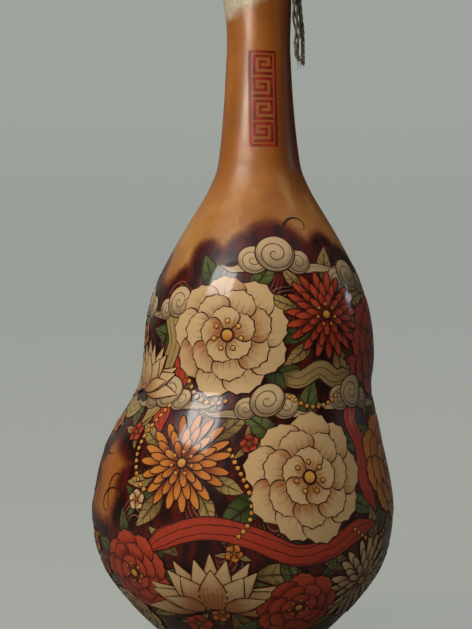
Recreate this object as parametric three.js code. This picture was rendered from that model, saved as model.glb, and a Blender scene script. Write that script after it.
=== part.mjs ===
// Burned gourd: a long-necked bottle gourd, dried whole and polished for pyrography.
// The hollow shell keeps its woody stalk, the dry pith of its neck and its loose seeds.
// A twine cord is tied round the stalk.
// Millimetres, +Z up. The origin is the middle of the foot, on the surface that the gourd stands on.
// The decorated face looks along -Y, and +X is on the right of someone who looks at it.

import * as THREE from 'three';

// Outside of the shell, as a diameter and a height for each place where the outline changes its way
const FOOT_DIAMETER = 42;
const HAUNCH_DIAMETER = 70;
const HAUNCH_HEIGHT = 13;
const BILGE_DIAMETER = 89;
const BILGE_HEIGHT = 26;
const BELLY_DIAMETER = 95;
const BELLY_HEIGHT = 42.5;
const FLANK_DIAMETER = 86.4;
const FLANK_HEIGHT = 63.5;
const WAIST_DIAMETER = 72.6;
const WAIST_HEIGHT = 81.5;
const CHEST_DIAMETER = 72.8;
const CHEST_HEIGHT = 93;
const SHOULDER_DIAMETER = 67.2;
const SHOULDER_HEIGHT = 110;
const THROAT_DIAMETER = 35;
const THROAT_HEIGHT = 139;
const NECK_FOOT_DIAMETER = 25;
const NECK_FOOT_HEIGHT = 152.5;
const NECK_DIAMETER = 20;
const NECK_HEIGHT = 186;
const CROWN_DIAMETER = 22.4;
const CROWN_HEIGHT = 208;

// The crown's dome ends in a flat seat for the stalk
const DOME_HEIGHT = 9;
const SEAT_DIAMETER = 14;
const SEAT_THICKNESS = 5.4;

// Rind, and the blossom dimple under the foot
const WALL = 3.6;
const DIMPLE_DIAMETER = 18;
const DIMPLE_DEPTH = 1.6;

// The gourd grew crooked: its upper half leans to the right, and its crown bends back to the left
const LEAN = 5;
const LEAN_START = 58;
const LEAN_END = 92;
const CROOK_START = 190;
const CROOK_RADIUS = 125;

// Woody stalk, with a tenon in the crown, a collar on the seat and ribs above the binding
const STALK_DIAMETER = 8;
const STALK_LENGTH = 27;
const COLLAR_DIAMETER = 13;
const COLLAR_EDGE = 1;
const COLLAR_HEIGHT = 4.5;
const TENON_DIAMETER = 8;
const TENON_LENGTH = 8;
const RIB_COUNT = 5;
const RIB_DEPTH = 0.55;
const RIB_LEAD = 210;
const STALK_END_DIAMETER = 9.6;
const STALK_END_LENGTH = 3;
const STALK_END_DISH = 0.6;

// Twine, its turns round the stalk and its barrel knot
const CORD_DIAMETER = 1.3;
const TURNS = 3;
const TURN_GAP = 0.5;
const BINDING_RISE = 2.4;
const KNOT_DIAMETER = 3.8;
const KNOT_WRAPS = 4;
const KNOT_WRAP_DEPTH = 0.3;
const KNOT_OVERHANG = 0.6;
const KNOT_ANGLE = -Math.PI / 12;

// Dry pith in the neck, which hangs from the stalk's root and ends in a cone
const PITH_LENGTH = 59;
const PITH_CONE_LENGTH = 14;
const PITH_CONE_SWELL = 1.5;

// Loose seeds, which lie in rings on the floor of the hollow
const SEED_LENGTH = 13.5;
const SEED_WIDTH = 6.6;
const SEED_THICKNESS = 3.2;
const SEED_EDGE = 0.9;
const SEED_TIP_FLAT = 2.1;
const SEED_END_FLAT = 2.8;
const SEED_SHOULDER = 1.4;
const SEED_NOTCH = 0.6;
const SEED_SPACING = 0.6;
const INNER_RING_DIAMETER = 33;
const OUTER_RING_DIAMETER = 54;

// Room that touching pieces leave each other
const FIT_GAP = 0.3;

// Fineness of the facets
const SHELL_SIDES = 48;
const OUTER_STEPS = 34;
const INNER_STEPS = 22;
const DOME_STEPS = 5;
const STALK_SIDES = 30;
const STALK_STEPS = 10;
const PITH_SIDES = 24;
const PITH_STEPS = 8;
const KNOT_SIDES = 12;
const KNOT_STEPS_PER_WRAP = 4;
const LOOP_STEPS = 24;
const LOOP_SIDES = 6;
const TAIL_SIDES = 8;
const TAIL_STEPS = 16;
const SEED_CURVE_STEPS = 4;

const CORD_RADIUS = CORD_DIAMETER / 2;
const BINDING_RADIUS = STALK_DIAMETER / 2 + FIT_GAP + CORD_RADIUS;
const TURN_PITCH = CORD_DIAMETER + TURN_GAP;
const SEAT_HEIGHT = CROWN_HEIGHT + DOME_HEIGHT;
const COLLAR_BASE = SEAT_HEIGHT + FIT_GAP;
const BINDING_BASE = COLLAR_BASE + COLLAR_HEIGHT + BINDING_RISE;
const BINDING_TOP = BINDING_BASE + TURNS * TURN_PITCH;
const STALK_TOP = SEAT_HEIGHT + STALK_LENGTH;
const BORE_RADIUS = TENON_DIAMETER / 2 + FIT_GAP;

// The two loose ends of the cord, from the knot over the crown and down beside the neck
const LEFT_TAIL = [
  [7.3, -2.85, 222.6],
  [7.3, -2.85, 221.3],
  [7.55, -2.87, 220.0],
  [8.2, -2.9, 218.85],
  [9.25, -2.94, 218.0],
  [10.7, -2.99, 217.4],
  [12.2, -3.04, 216.6],
  [13.6, -3.08, 215.2],
  [14.7, -3.1, 213.2],
  [15.45, -3.12, 210.7],
  [15.9, -3.14, 208.0],
  [16.2, -3.17, 204.5],
  [16.3, -3.2, 200.5],
  [16.3, -3.25, 196.8],
  [16.75, -3.35, 193.4],
  [17.0, -3.4, 190.2],
  [16.7, -3.3, 187.0],
  [16.8, -3.2, 184.6],
  [17.5, -3.1, 182.4],
];
const RIGHT_TAIL = [
  [7.3, -1.2, 222.6],
  [7.3, -1.2, 221.3],
  [7.55, -1.18, 220.0],
  [8.2, -1.14, 218.85],
  [9.25, -1.1, 218.02],
  [10.9, -1.05, 217.5],
  [12.9, -1.0, 217.1],
  [14.6, -1.0, 216.0],
  [15.9, -1.05, 214.3],
  [16.8, -1.15, 212.0],
  [17.35, -1.25, 208.8],
  [17.6, -1.35, 205.0],
  [17.7, -1.45, 201.0],
  [18.1, -1.55, 196.6],
  [18.6, -1.6, 192.0],
  [18.75, -1.7, 187.6],
  [18.8, -1.8, 181.4],
];

// How far the gourd's own axis lies to the right of the foot at a height
function axisShift(height) {
  const lean = LEAN * THREE.MathUtils.smoothstep(height, LEAN_START, LEAN_END);
  const above = Math.max(0, height - CROOK_START);
  return lean - (above * above) / (2 * CROOK_RADIUS);
}

// Stands a lathed or straight solid on the gourd's crooked axis
function followAxis(geometry) {
  const place = geometry.getAttribute('position');
  for (let i = 0; i < place.count; i += 1) {
    place.setX(i, place.getX(i) + axisShift(place.getZ(i)));
  }
  geometry.computeVertexNormals();
  return geometry;
}

// Turns an outline of radius and height about +Z
function turned(outline, sides) {
  return new THREE.LatheGeometry(outline, sides).rotateX(Math.PI / 2);
}

// A round cord along a curve
function cordAlong(curve, sides, steps) {
  const section = new THREE.Shape().absarc(0, 0, CORD_RADIUS, 0, 2 * Math.PI);
  const corners = section.getSpacedPoints(sides).slice(0, sides);
  return new THREE.ExtrudeGeometry(new THREE.Shape(corners), { extrudePath: curve, steps });
}

// The shell's outer wall, from the edge of the foot to the widest ring of the crown
const outerWall = new THREE.SplineCurve([
  new THREE.Vector2(FOOT_DIAMETER / 2, 0),
  new THREE.Vector2(HAUNCH_DIAMETER / 2, HAUNCH_HEIGHT),
  new THREE.Vector2(BILGE_DIAMETER / 2, BILGE_HEIGHT),
  new THREE.Vector2(BELLY_DIAMETER / 2, BELLY_HEIGHT),
  new THREE.Vector2(FLANK_DIAMETER / 2, FLANK_HEIGHT),
  new THREE.Vector2(WAIST_DIAMETER / 2, WAIST_HEIGHT),
  new THREE.Vector2(CHEST_DIAMETER / 2, CHEST_HEIGHT),
  new THREE.Vector2(SHOULDER_DIAMETER / 2, SHOULDER_HEIGHT),
  new THREE.Vector2(THROAT_DIAMETER / 2, THROAT_HEIGHT),
  new THREE.Vector2(NECK_FOOT_DIAMETER / 2, NECK_FOOT_HEIGHT),
  new THREE.Vector2(NECK_DIAMETER / 2, NECK_HEIGHT),
  new THREE.Vector2(CROWN_DIAMETER / 2, CROWN_HEIGHT),
]);

// The inner wall lies one rind inside the outer one, and starts where it meets the floor
function innerWallPoints() {
  const points = [];
  for (let i = 0; i <= INNER_STEPS; i += 1) {
    const share = i / INNER_STEPS;
    const along = outerWall.getTangentAt(share);
    const inward = new THREE.Vector2(-along.y, along.x);
    points.push(outerWall.getPointAt(share).addScaledVector(inward, WALL));
  }
  const first = points.findIndex((point) => point.y > WALL);
  const above = points[first];
  const below = points[first - 1];
  const meeting = below.clone().lerp(above, (WALL - below.y) / (above.y - below.y));
  return [meeting, ...points.slice(first)];
}
const innerWall = innerWallPoints();

// The hollow narrows from the inner wall to the bore that takes the stalk's tenon
const boreFoot = new THREE.Vector2(BORE_RADIUS, SEAT_HEIGHT - SEAT_THICKNESS);
const hollow = [...innerWall, boreFoot];

// The dimple's outline, from the axis to its rim, above a level
function dimpleAt(level) {
  return new THREE.QuadraticBezierCurve(
    new THREE.Vector2(0, level + DIMPLE_DEPTH),
    new THREE.Vector2(DIMPLE_DIAMETER / 4, level + DIMPLE_DEPTH),
    new THREE.Vector2(DIMPLE_DIAMETER / 2, level),
  ).getPoints(DOME_STEPS);
}

function shellGeometry() {
  const dome = new THREE.QuadraticBezierCurve(
    new THREE.Vector2(CROWN_DIAMETER / 2, CROWN_HEIGHT),
    new THREE.Vector2(CROWN_DIAMETER / 2, SEAT_HEIGHT),
    new THREE.Vector2(SEAT_DIAMETER / 2, SEAT_HEIGHT),
  ).getPoints(DOME_STEPS);
  const outline = [
    ...dimpleAt(0),
    ...outerWall.getSpacedPoints(OUTER_STEPS),
    ...dome.slice(1),
    new THREE.Vector2(BORE_RADIUS, SEAT_HEIGHT),
    ...hollow.toReversed(),
    ...dimpleAt(WALL).reverse(),
  ];
  return followAxis(turned(outline, SHELL_SIDES));
}

function stalkGeometry() {
  const radius = STALK_DIAMETER / 2;
  const collarRadius = COLLAR_DIAMETER / 2;
  const collarTop = COLLAR_BASE + COLLAR_HEIGHT;
  const ribStart = BINDING_TOP + CORD_RADIUS;
  const ribEnd = STALK_TOP - STALK_END_LENGTH;
  const collar = new THREE.QuadraticBezierCurve(
    new THREE.Vector2(collarRadius, COLLAR_BASE + COLLAR_EDGE),
    new THREE.Vector2(radius, COLLAR_BASE + COLLAR_EDGE),
    new THREE.Vector2(radius, collarTop),
  ).getPoints(DOME_STEPS);
  const outline = [
    new THREE.Vector2(0, SEAT_HEIGHT - TENON_LENGTH),
    new THREE.Vector2(TENON_DIAMETER / 2, SEAT_HEIGHT - TENON_LENGTH),
    new THREE.Vector2(TENON_DIAMETER / 2, COLLAR_BASE),
    new THREE.Vector2(collarRadius, COLLAR_BASE),
    ...collar,
  ];
  for (let i = 0; i <= STALK_STEPS; i += 1) {
    outline.push(new THREE.Vector2(radius, THREE.MathUtils.lerp(ribStart, ribEnd, i / STALK_STEPS)));
  }
  outline.push(new THREE.Vector2(STALK_END_DIAMETER / 2, STALK_TOP));
  outline.push(new THREE.Vector2(0, STALK_TOP - STALK_END_DISH));
  const geometry = turned(outline, STALK_SIDES);
  const place = geometry.getAttribute('position');
  for (let i = 0; i < place.count; i += 1) {
    const height = place.getZ(i);
    const raised = THREE.MathUtils.smoothstep(height, ribStart, ribStart + STALK_END_LENGTH);
    const angle = Math.atan2(place.getY(i), place.getX(i)) + (2 * Math.PI * (height - ribStart)) / RIB_LEAD;
    const swell = 1 + (raised * RIB_DEPTH * Math.cos(RIB_COUNT * angle)) / radius;
    place.setXY(i, place.getX(i) * swell, place.getY(i) * swell);
  }
  return followAxis(geometry);
}

// Radius of the hollow at a height above the belly
function hollowRadiusAt(height) {
  const next = hollow.findIndex((point) => point.y > height);
  const above = hollow[next];
  const below = hollow[next - 1];
  return THREE.MathUtils.mapLinear(height, below.y, above.y, below.x, above.x);
}

function pithGeometry() {
  const top = Math.min(SEAT_HEIGHT - TENON_LENGTH, boreFoot.y) - FIT_GAP;
  const tip = top - PITH_LENGTH;
  const shoulder = tip + PITH_CONE_LENGTH;
  const cone = new THREE.QuadraticBezierCurve(
    new THREE.Vector2(0, tip),
    new THREE.Vector2(hollowRadiusAt(shoulder) - PITH_CONE_SWELL, tip + PITH_CONE_SWELL),
    new THREE.Vector2(hollowRadiusAt(shoulder) - FIT_GAP, shoulder),
  ).getPoints(DOME_STEPS);
  const outline = [...cone];
  for (let i = 1; i <= PITH_STEPS; i += 1) {
    const height = THREE.MathUtils.lerp(shoulder, top, i / PITH_STEPS);
    outline.push(new THREE.Vector2(hollowRadiusAt(height) - FIT_GAP, height));
  }
  outline.push(new THREE.Vector2(0, top));
  return followAxis(turned(outline, PITH_SIDES));
}

// The knot stands off the turns, and the cord runs straight into its sides from the first turn and the last
const knotReach = BINDING_RADIUS + CORD_RADIUS + FIT_GAP + KNOT_DIAMETER / 2;
const knotHeight = BINDING_TOP - BINDING_BASE + 2 * (CORD_RADIUS + KNOT_OVERHANG);

function bindingCurve() {
  const leave = Math.acos(BINDING_RADIUS / knotReach);
  const straight = BINDING_RADIUS * Math.tan(leave) - KNOT_DIAMETER / 2 - FIT_GAP;
  const wound = 2 * Math.PI * TURNS - 2 * leave;
  const steps = TURNS * LOOP_STEPS;
  const at = (angle, along, height) => new THREE.Vector3(
    BINDING_RADIUS * Math.cos(angle) - along * Math.sin(angle) + axisShift(height),
    BINDING_RADIUS * Math.sin(angle) + along * Math.cos(angle),
    height,
  );
  const first = KNOT_ANGLE + leave;
  const points = [at(first, -straight, BINDING_BASE), at(first, -straight + CORD_DIAMETER, BINDING_BASE)];
  for (let i = 0; i <= steps; i += 1) {
    const height = THREE.MathUtils.lerp(BINDING_BASE, BINDING_TOP, i / steps);
    points.push(at(first + (wound * i) / steps, 0, height));
  }
  const last = first + wound;
  points.push(at(last, straight - CORD_DIAMETER, BINDING_TOP), at(last, straight, BINDING_TOP));
  return new THREE.CatmullRomCurve3(points);
}

// The least room between two stretches of a wound cord, less its own diameter
function leastGap(curve, samples) {
  const points = curve.getSpacedPoints(samples);
  const apart = Math.ceil((4 * CORD_DIAMETER * samples) / curve.getLength());
  let least = Infinity;
  points.forEach((a, i) => {
    points.slice(i + apart).forEach((b) => {
      least = Math.min(least, a.distanceTo(b));
    });
  });
  return least - CORD_DIAMETER;
}

// A barrel of round wraps
function knotGeometry() {
  const outline = [new THREE.Vector2(0, -knotHeight / 2)];
  const steps = KNOT_WRAPS * KNOT_STEPS_PER_WRAP;
  for (let i = 0; i <= steps; i += 1) {
    const groove = Math.abs(Math.cos((Math.PI * i) / KNOT_STEPS_PER_WRAP));
    const radius = KNOT_DIAMETER / 2 - KNOT_WRAP_DEPTH * groove;
    outline.push(new THREE.Vector2(radius, knotHeight * (i / steps - 0.5)));
  }
  outline.push(new THREE.Vector2(0, knotHeight / 2));
  const middle = (BINDING_BASE + BINDING_TOP) / 2;
  return turned(outline, KNOT_SIDES).translate(
    knotReach * Math.cos(KNOT_ANGLE) + axisShift(middle),
    knotReach * Math.sin(KNOT_ANGLE),
    middle,
  );
}

function tailGeometry(route) {
  const curve = new THREE.CatmullRomCurve3(route.map((point) => new THREE.Vector3(...point)));
  return cordAlong(curve, TAIL_SIDES, TAIL_STEPS);
}

// A flat seed with square shoulders at its broad end and a narrow stalk end
function seedGeometry() {
  const end = SEED_LENGTH / 2 - SEED_EDGE;
  const side = SEED_WIDTH / 2 - SEED_EDGE;
  const shoulder = end - SEED_SHOULDER;
  const tip = SEED_TIP_FLAT / 2;
  const corner = SEED_END_FLAT / 2;
  const outline = new THREE.Shape()
    .moveTo(-end, -tip)
    .quadraticCurveTo(0, -side, shoulder, -side)
    .lineTo(end, -corner)
    .quadraticCurveTo(end - SEED_NOTCH, 0, end, corner)
    .lineTo(shoulder, side)
    .quadraticCurveTo(0, side, -end, tip);
  return new THREE.ExtrudeGeometry(outline, {
    depth: SEED_THICKNESS - 2 * SEED_EDGE,
    bevelThickness: SEED_EDGE,
    bevelSize: SEED_EDGE,
    bevelSegments: 1,
    curveSegments: SEED_CURVE_STEPS,
  }).translate(0, 0, SEED_EDGE - SEED_THICKNESS / 2);
}

// Height and slope of the hollow's floor at a radius, below the belly
const floorOutline = [...dimpleAt(WALL), ...innerWall];
function floorAt(radius) {
  const next = Math.max(1, floorOutline.findIndex((point) => point.x > radius));
  const outer = floorOutline[next];
  const inner = floorOutline[next - 1];
  return {
    height: THREE.MathUtils.mapLinear(radius, inner.x, outer.x, inner.y, outer.y),
    slope: Math.atan2(outer.y - inner.y, outer.x - inner.x),
  };
}

// How far the floor under a corner of a seed's flat face rises over the plane that touches it under the middle
function cornerRise(radius, floor, across) {
  const corner = Math.hypot(radius + across * Math.cos(floor.slope), SEED_LENGTH / 2 - SEED_EDGE);
  const rise = floorAt(corner).height - floor.height - across * Math.sin(floor.slope);
  return rise * Math.cos(floor.slope);
}

// Where a seed lies along a ring: flat on the floor, and high enough for its corners to clear the bowl
function seedSeat(ringDiameter) {
  const radius = ringDiameter / 2;
  const floor = floorAt(radius);
  const side = SEED_WIDTH / 2 - SEED_EDGE;
  const rise = Math.max(0, cornerRise(radius, floor, side), cornerRise(radius, floor, -side));
  const lift = SEED_THICKNESS / 2 + FIT_GAP + rise;
  return {
    slope: floor.slope,
    reach: radius - lift * Math.sin(floor.slope),
    height: floor.height + lift * Math.cos(floor.slope),
  };
}

// As many seeds as fit end to end in a ring
function seedsInRing(seat) {
  const innerEdge = seat.reach - SEED_WIDTH / 2;
  return Math.floor(Math.PI / Math.atan((SEED_LENGTH + SEED_SPACING) / 2 / innerEdge));
}

const rind = new THREE.MeshStandardMaterial({ color: '#b27a40', roughness: 0.3 });
const wood = new THREE.MeshStandardMaterial({ color: '#8a7550', roughness: 0.8 });
const pith = new THREE.MeshStandardMaterial({ color: '#d9cba6', roughness: 0.95 });
const twine = new THREE.MeshStandardMaterial({ color: '#5d564c', roughness: 0.9 });
const husk = new THREE.MeshStandardMaterial({ color: '#a98a5c', roughness: 0.7 });

function named(name, geometry, material) {
  const mesh = new THREE.Mesh(geometry, material);
  mesh.name = name;
  return mesh;
}

const shell = new THREE.Group();
shell.add(named('gourd_shell', shellGeometry(), rind));
shell.add(named('neck_pith', pithGeometry(), pith));
shell.add(named('stalk', stalkGeometry(), wood));

const binding = bindingCurve();
console.log(`least gap between the cord's turns: ${leastGap(binding, 400).toFixed(2)} mm`);
const cord = new THREE.Group();
cord.add(named('cord_binding', cordAlong(binding, LOOP_SIDES, TURNS * LOOP_STEPS), twine));
cord.add(named('cord_knot', knotGeometry(), twine));
cord.add(named('cord_tail_left', tailGeometry(LEFT_TAIL), twine));
cord.add(named('cord_tail_right', tailGeometry(RIGHT_TAIL), twine));

const seeds = new THREE.Group();
[INNER_RING_DIAMETER, OUTER_RING_DIAMETER].forEach((ringDiameter) => {
  const seat = seedSeat(ringDiameter);
  const count = seedsInRing(seat);
  for (let i = 0; i < count; i += 1) {
    const angle = (2 * Math.PI * i) / count;
    const number = String(seeds.children.length + 1).padStart(2, '0');
    const seed = named(`seed_${number}`, seedGeometry(), husk);
    seed.position.set(seat.reach * Math.cos(angle), seat.reach * Math.sin(angle), seat.height);
    seed.rotation.set(0, 0, angle - Math.PI / 2);
    seed.rotateX(seat.slope);
    seeds.add(seed);
  }
});

const gourd = new THREE.Group();
gourd.add(shell, cord, seeds);

export default gourd;
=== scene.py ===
# %% [markdown]
# # A burned gourd
# A bottle gourd is dried whole, a design is burned and stained into its skin, and it is lacquered. The
# packed model fixes where every piece is. This lesson gives each piece its finished form and surface.

# %% Load the packed model
import math
import random

import bmesh
import bpy
import numpy as np
from mathutils import Color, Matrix, Vector, geometry, kdtree
from mathutils.bvhtree import BVHTree


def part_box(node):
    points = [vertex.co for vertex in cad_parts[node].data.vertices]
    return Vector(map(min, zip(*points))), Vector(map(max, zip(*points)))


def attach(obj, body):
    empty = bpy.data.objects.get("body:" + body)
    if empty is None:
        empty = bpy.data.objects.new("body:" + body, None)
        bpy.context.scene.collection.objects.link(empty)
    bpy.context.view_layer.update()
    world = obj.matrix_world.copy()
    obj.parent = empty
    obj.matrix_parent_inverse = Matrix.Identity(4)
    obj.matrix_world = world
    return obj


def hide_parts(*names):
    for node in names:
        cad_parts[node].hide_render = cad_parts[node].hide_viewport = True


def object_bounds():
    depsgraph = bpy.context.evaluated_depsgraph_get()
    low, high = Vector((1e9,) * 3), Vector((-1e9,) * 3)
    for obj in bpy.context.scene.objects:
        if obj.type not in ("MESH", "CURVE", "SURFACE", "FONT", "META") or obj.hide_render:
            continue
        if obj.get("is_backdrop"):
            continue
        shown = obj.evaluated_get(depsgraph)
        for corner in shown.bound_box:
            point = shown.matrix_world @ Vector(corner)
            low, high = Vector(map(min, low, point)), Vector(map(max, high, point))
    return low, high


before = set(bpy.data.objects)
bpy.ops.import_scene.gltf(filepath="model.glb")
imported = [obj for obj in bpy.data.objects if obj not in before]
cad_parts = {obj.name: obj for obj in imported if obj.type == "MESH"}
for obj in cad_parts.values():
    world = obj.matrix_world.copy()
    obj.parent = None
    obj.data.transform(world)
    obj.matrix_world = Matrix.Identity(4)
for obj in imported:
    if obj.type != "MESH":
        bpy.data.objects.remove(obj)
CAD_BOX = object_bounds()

print("pieces in the frame:", len(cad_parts))

# %% [markdown]
# The camera comes first, so that every later step can be looked at from the right place. It could be
# turned by hand until the view fits. Here it stands level with the middle of the picture, half a metre in
# front, and the scale of the photograph and two of its places, the middle of the foot and the surface
# under it, say where that is.

# %% Camera
MM = 0.001
IMAGE_WIDTH = 472
IMAGE_HEIGHT = 629
PIXEL = 0.3146 * MM
FOOT_COLUMN = 243
FOOT_ROW = 642
CAMERA_DISTANCE = 500 * MM

lens = bpy.data.cameras.new("camera")
lens.lens = lens.sensor_width * CAMERA_DISTANCE / (IMAGE_HEIGHT * PIXEL)
camera = bpy.data.objects.new("camera", lens)
camera.location.x = (IMAGE_WIDTH / 2 - FOOT_COLUMN) * PIXEL
camera.location.y = -CAMERA_DISTANCE
camera.location.z = (FOOT_ROW - IMAGE_HEIGHT / 2) * PIXEL
camera.rotation_euler.x = math.pi / 2
bpy.context.collection.objects.link(camera)
bpy.context.scene.camera = camera
print("lens of", round(lens.lens, 1), "mm")

# %% [markdown]
# Every finish below is a small tree of shader nodes. Such a tree could be wired by hand in the editor,
# but it is easier to read as a formula. This class wraps one socket, so that sockets can be added and
# multiplied. Any other kind of node comes from its method node.

# %% Shader formulas
class Shade:
    """One socket in a material's node tree."""

    def __init__(self, tree, socket=None):
        self.tree = tree
        self.socket = socket

    def feed(self, node, sockets):
        """Links or sets the named sockets of a node."""
        for key, value in sockets.items():
            if isinstance(value, Shade):
                self.tree.links.new(value.socket, node.inputs[key])
            else:
                node.inputs[key].default_value = value

    def node(self, kind, settings, sockets, output=0):
        """Adds a node, with its settings before its sockets, and returns one of its outputs."""
        made = self.tree.nodes.new("ShaderNode" + kind)
        for name, value in settings.items():
            setattr(made, name, value)
        self.feed(made, sockets)
        return Shade(self.tree, made.outputs[output])

    def math(self, operation, *values):
        return self.node("Math", {"operation": operation}, dict(enumerate(values)))

    def __add__(self, other):
        return self.math("ADD", self, other)

    def __sub__(self, other):
        return self.math("SUBTRACT", self, other)

    def __rsub__(self, other):
        return self.math("SUBTRACT", other, self)

    def __mul__(self, other):
        return self.math("MULTIPLY", self, other)

    def __truediv__(self, other):
        return self.math("DIVIDE", self, other)

    def __abs__(self):
        return self.math("ABSOLUTE", self)

    __radd__ = __add__
    __rmul__ = __mul__

    def fold(self):
        """Runs from 0 to 0.5 and back once in every whole number, for lines at even distances."""
        return self.math("PINGPONG", self, 0.5)

    def step(self, low, high):
        """Eases from 0 at low to 1 at high, which may be the smaller of the two."""
        limits = {"Value": self, "From Min": low, "From Max": high}
        return self.node("MapRange", {"interpolation_type": "SMOOTHSTEP"}, limits)

    def mix(self, first, second):
        """The first colour where this is 0 and the second where it is 1."""
        return self.node("Mix", {"data_type": "RGBA"}, {0: self, 6: first, 7: second}, 2)


print("methods of a socket:", [name for name in vars(Shade) if not name.startswith("__")])

# %% [markdown]
# All finishes start alike. Colours are written as they look on the screen and turned into linear light,
# which Blender works in. Patterns are cloudy noise. It could follow a piece's own box, but it reads the
# place in metres instead, so that a speck has the same size on the stalk as on the belly.

# %% Parts that every finish uses
def srgb(red, green, blue):
    """A colour as it looks on the screen, from 0 to 255, in linear light."""
    return [*Color((red / 255, green / 255, blue / 255)).from_srgb_to_scene_linear(), 1]


def new_finish(name):
    """A material, the start of its formulas and its surface node."""
    made = bpy.data.materials.new(name)
    made.use_nodes = True
    return made, Shade(made.node_tree), made.node_tree.nodes["Principled BSDF"]


def place(shade):
    """The place of the shaded point, in metres."""
    return shade.node("TexCoord", {}, {}, 3)


def along_axis(shade, axis):
    """The X, Y or Z of the shaded point, in metres."""
    return shade.node("SeparateXYZ", {}, {"Vector": place(shade)}, axis)


def noise(shade, size, detail=3.0, stretch=(1, 1, 1)):
    """A cloudy pattern from 0 to 1 whose blotches have about that size in metres."""
    where = shade.node("Mapping", {}, {"Vector": place(shade), "Scale": stretch})
    return shade.node("TexNoise", {}, {"Vector": where, "Scale": 1 / size, "Detail": detail})


def bump(shade, height, depth):
    """The normal of a surface whose relief has that depth in metres."""
    return shade.node("Bump", {}, {"Strength": 1, "Distance": depth, "Height": height})


print("middle grey in linear light:", [round(value, 3) for value in srgb(128, 128, 128)])

# %% [markdown]
# The twine is soft, so it comes next. Its two loose ends hang beside the neck. Cloth simulation could
# hang them, but their place is known: the routes of the packed model are repeated here in millimetres,
# and a smooth line through their points is the middle of the twine.

# %% Twine routes
ROUTE_STEPS = 6
LEFT_ROUTE = [
    (7.3, -2.85, 222.6), (7.3, -2.85, 221.3), (7.55, -2.87, 220.0), (8.2, -2.9, 218.85),
    (9.25, -2.94, 218.0), (10.7, -2.99, 217.4), (12.2, -3.04, 216.6), (13.6, -3.08, 215.2),
    (14.7, -3.1, 213.2), (15.45, -3.12, 210.7), (15.9, -3.14, 208.0), (16.2, -3.17, 204.5),
    (16.3, -3.2, 200.5), (16.3, -3.25, 196.8), (16.75, -3.35, 193.4), (17.0, -3.4, 190.2),
    (16.7, -3.3, 187.0), (16.8, -3.2, 184.6), (17.5, -3.1, 182.4),
]
RIGHT_ROUTE = [
    (7.3, -1.2, 222.6), (7.3, -1.2, 221.3), (7.55, -1.18, 220.0), (8.2, -1.14, 218.85),
    (9.25, -1.1, 218.02), (10.9, -1.05, 217.5), (12.9, -1.0, 217.1), (14.6, -1.0, 216.0),
    (15.9, -1.05, 214.3), (16.8, -1.15, 212.0), (17.35, -1.25, 208.8), (17.6, -1.35, 205.0),
    (17.7, -1.45, 201.0), (18.1, -1.55, 196.6), (18.6, -1.6, 192.0), (18.75, -1.7, 187.6),
    (18.8, -1.8, 181.4),
]


def smooth_line(points, steps):
    """Places on a smooth line through the points, with that many steps from each to the next."""
    # An even bend leaves a point along the chord of its neighbours, for a sixth of that chord.
    points = [Vector(point) for point in points]
    line = [points[0]]
    for i in range(len(points) - 1):
        start = points[i]
        end = points[i + 1]
        lead_in = (end - points[max(i - 1, 0)]) / 6
        lead_out = (points[min(i + 2, len(points) - 1)] - start) / 6
        line += geometry.interpolate_bezier(start, start + lead_in, end - lead_out, end, steps + 1)[1:]
    return line


def length_of(line):
    return sum((end - start).length for start, end in zip(line, line[1:]))


left_line = [point * MM for point in smooth_line(LEFT_ROUTE, ROUTE_STEPS)]
right_line = [point * MM for point in smooth_line(RIGHT_ROUTE, ROUTE_STEPS)]
print("loose ends:", [round(length_of(line) / MM, 1) for line in (left_line, right_line)], "mm")

# %% [markdown]
# Laid twine is three plies wound round each other. A bump could hint at them, but plies that are real
# tubes catch the light and show in the outline. Old twine opens near its end, so there the plies stand
# apart.

# %% Plies
PLIES = 3
PLY_OFFSET = 0.31 * MM
LAY_LENGTH = 4.2 * MM
FIRST_SIDE = Vector((0.3, 1, 0.2))


def held(value):
    """A value kept between 0 and 1."""
    return min(max(value, 0), 1)


def plies(line, opening=0):
    """Lines of the plies that wind round a line, and that an opening parts on its lower half."""
    wound = [[] for _ in range(PLIES)]
    side = FIRST_SIDE
    turns = 0
    for i, point in enumerate(line):
        after = line[min(i + 1, len(line) - 1)]
        ahead = (after - line[max(i - 1, 0)]).normalized()
        side = (side - ahead * side.dot(ahead)).normalized()
        across = ahead.cross(side)
        lower = held(2 * i / len(line) - 1)
        offset = PLY_OFFSET + opening * math.sin(math.pi * lower)
        for k in range(PLIES):
            turn = 2 * math.pi * (turns + k / PLIES)
            wound[k].append(point + offset * (math.cos(turn) * side + math.sin(turn) * across))
        turns += (after - point).length / LAY_LENGTH * (PLY_OFFSET / offset) ** 2
    return wound


print("length of a ply of the left end:", round(length_of(plies(left_line)[0]) / MM, 1), "mm")

# %% [markdown]
# A ply is a round strand. A circle could be swept along its line with bmesh, but a curve with a bevel
# does that by itself, caps included. Its mesh is kept and the curve is thrown away, so that one object
# holds all plies.

# %% Strands
PLY_WIDTH = 0.68 * MM
LEFT_OPENING = 0.4 * MM
RIGHT_OPENING = 0.12 * MM


def strands(name, lines, width):
    """One mesh of round strands that follow the lines."""
    curve = bpy.data.curves.new(name + "_curve", "CURVE")
    curve.dimensions = "3D"
    curve.bevel_depth = width / 2
    curve.bevel_resolution = 1
    curve.use_fill_caps = True
    for line in lines:
        spline = curve.splines.new("POLY")
        spline.points.add(len(line) - 1)
        for point, where in zip(spline.points, line):
            point.co = (*where, 1)
    holder = bpy.data.objects.new(name + "_curve", curve)
    made = bpy.data.objects.new(name, bpy.data.meshes.new_from_object(holder))
    bpy.data.objects.remove(holder)
    bpy.context.collection.objects.link(made)
    made.data.shade_smooth()
    return made


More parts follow.
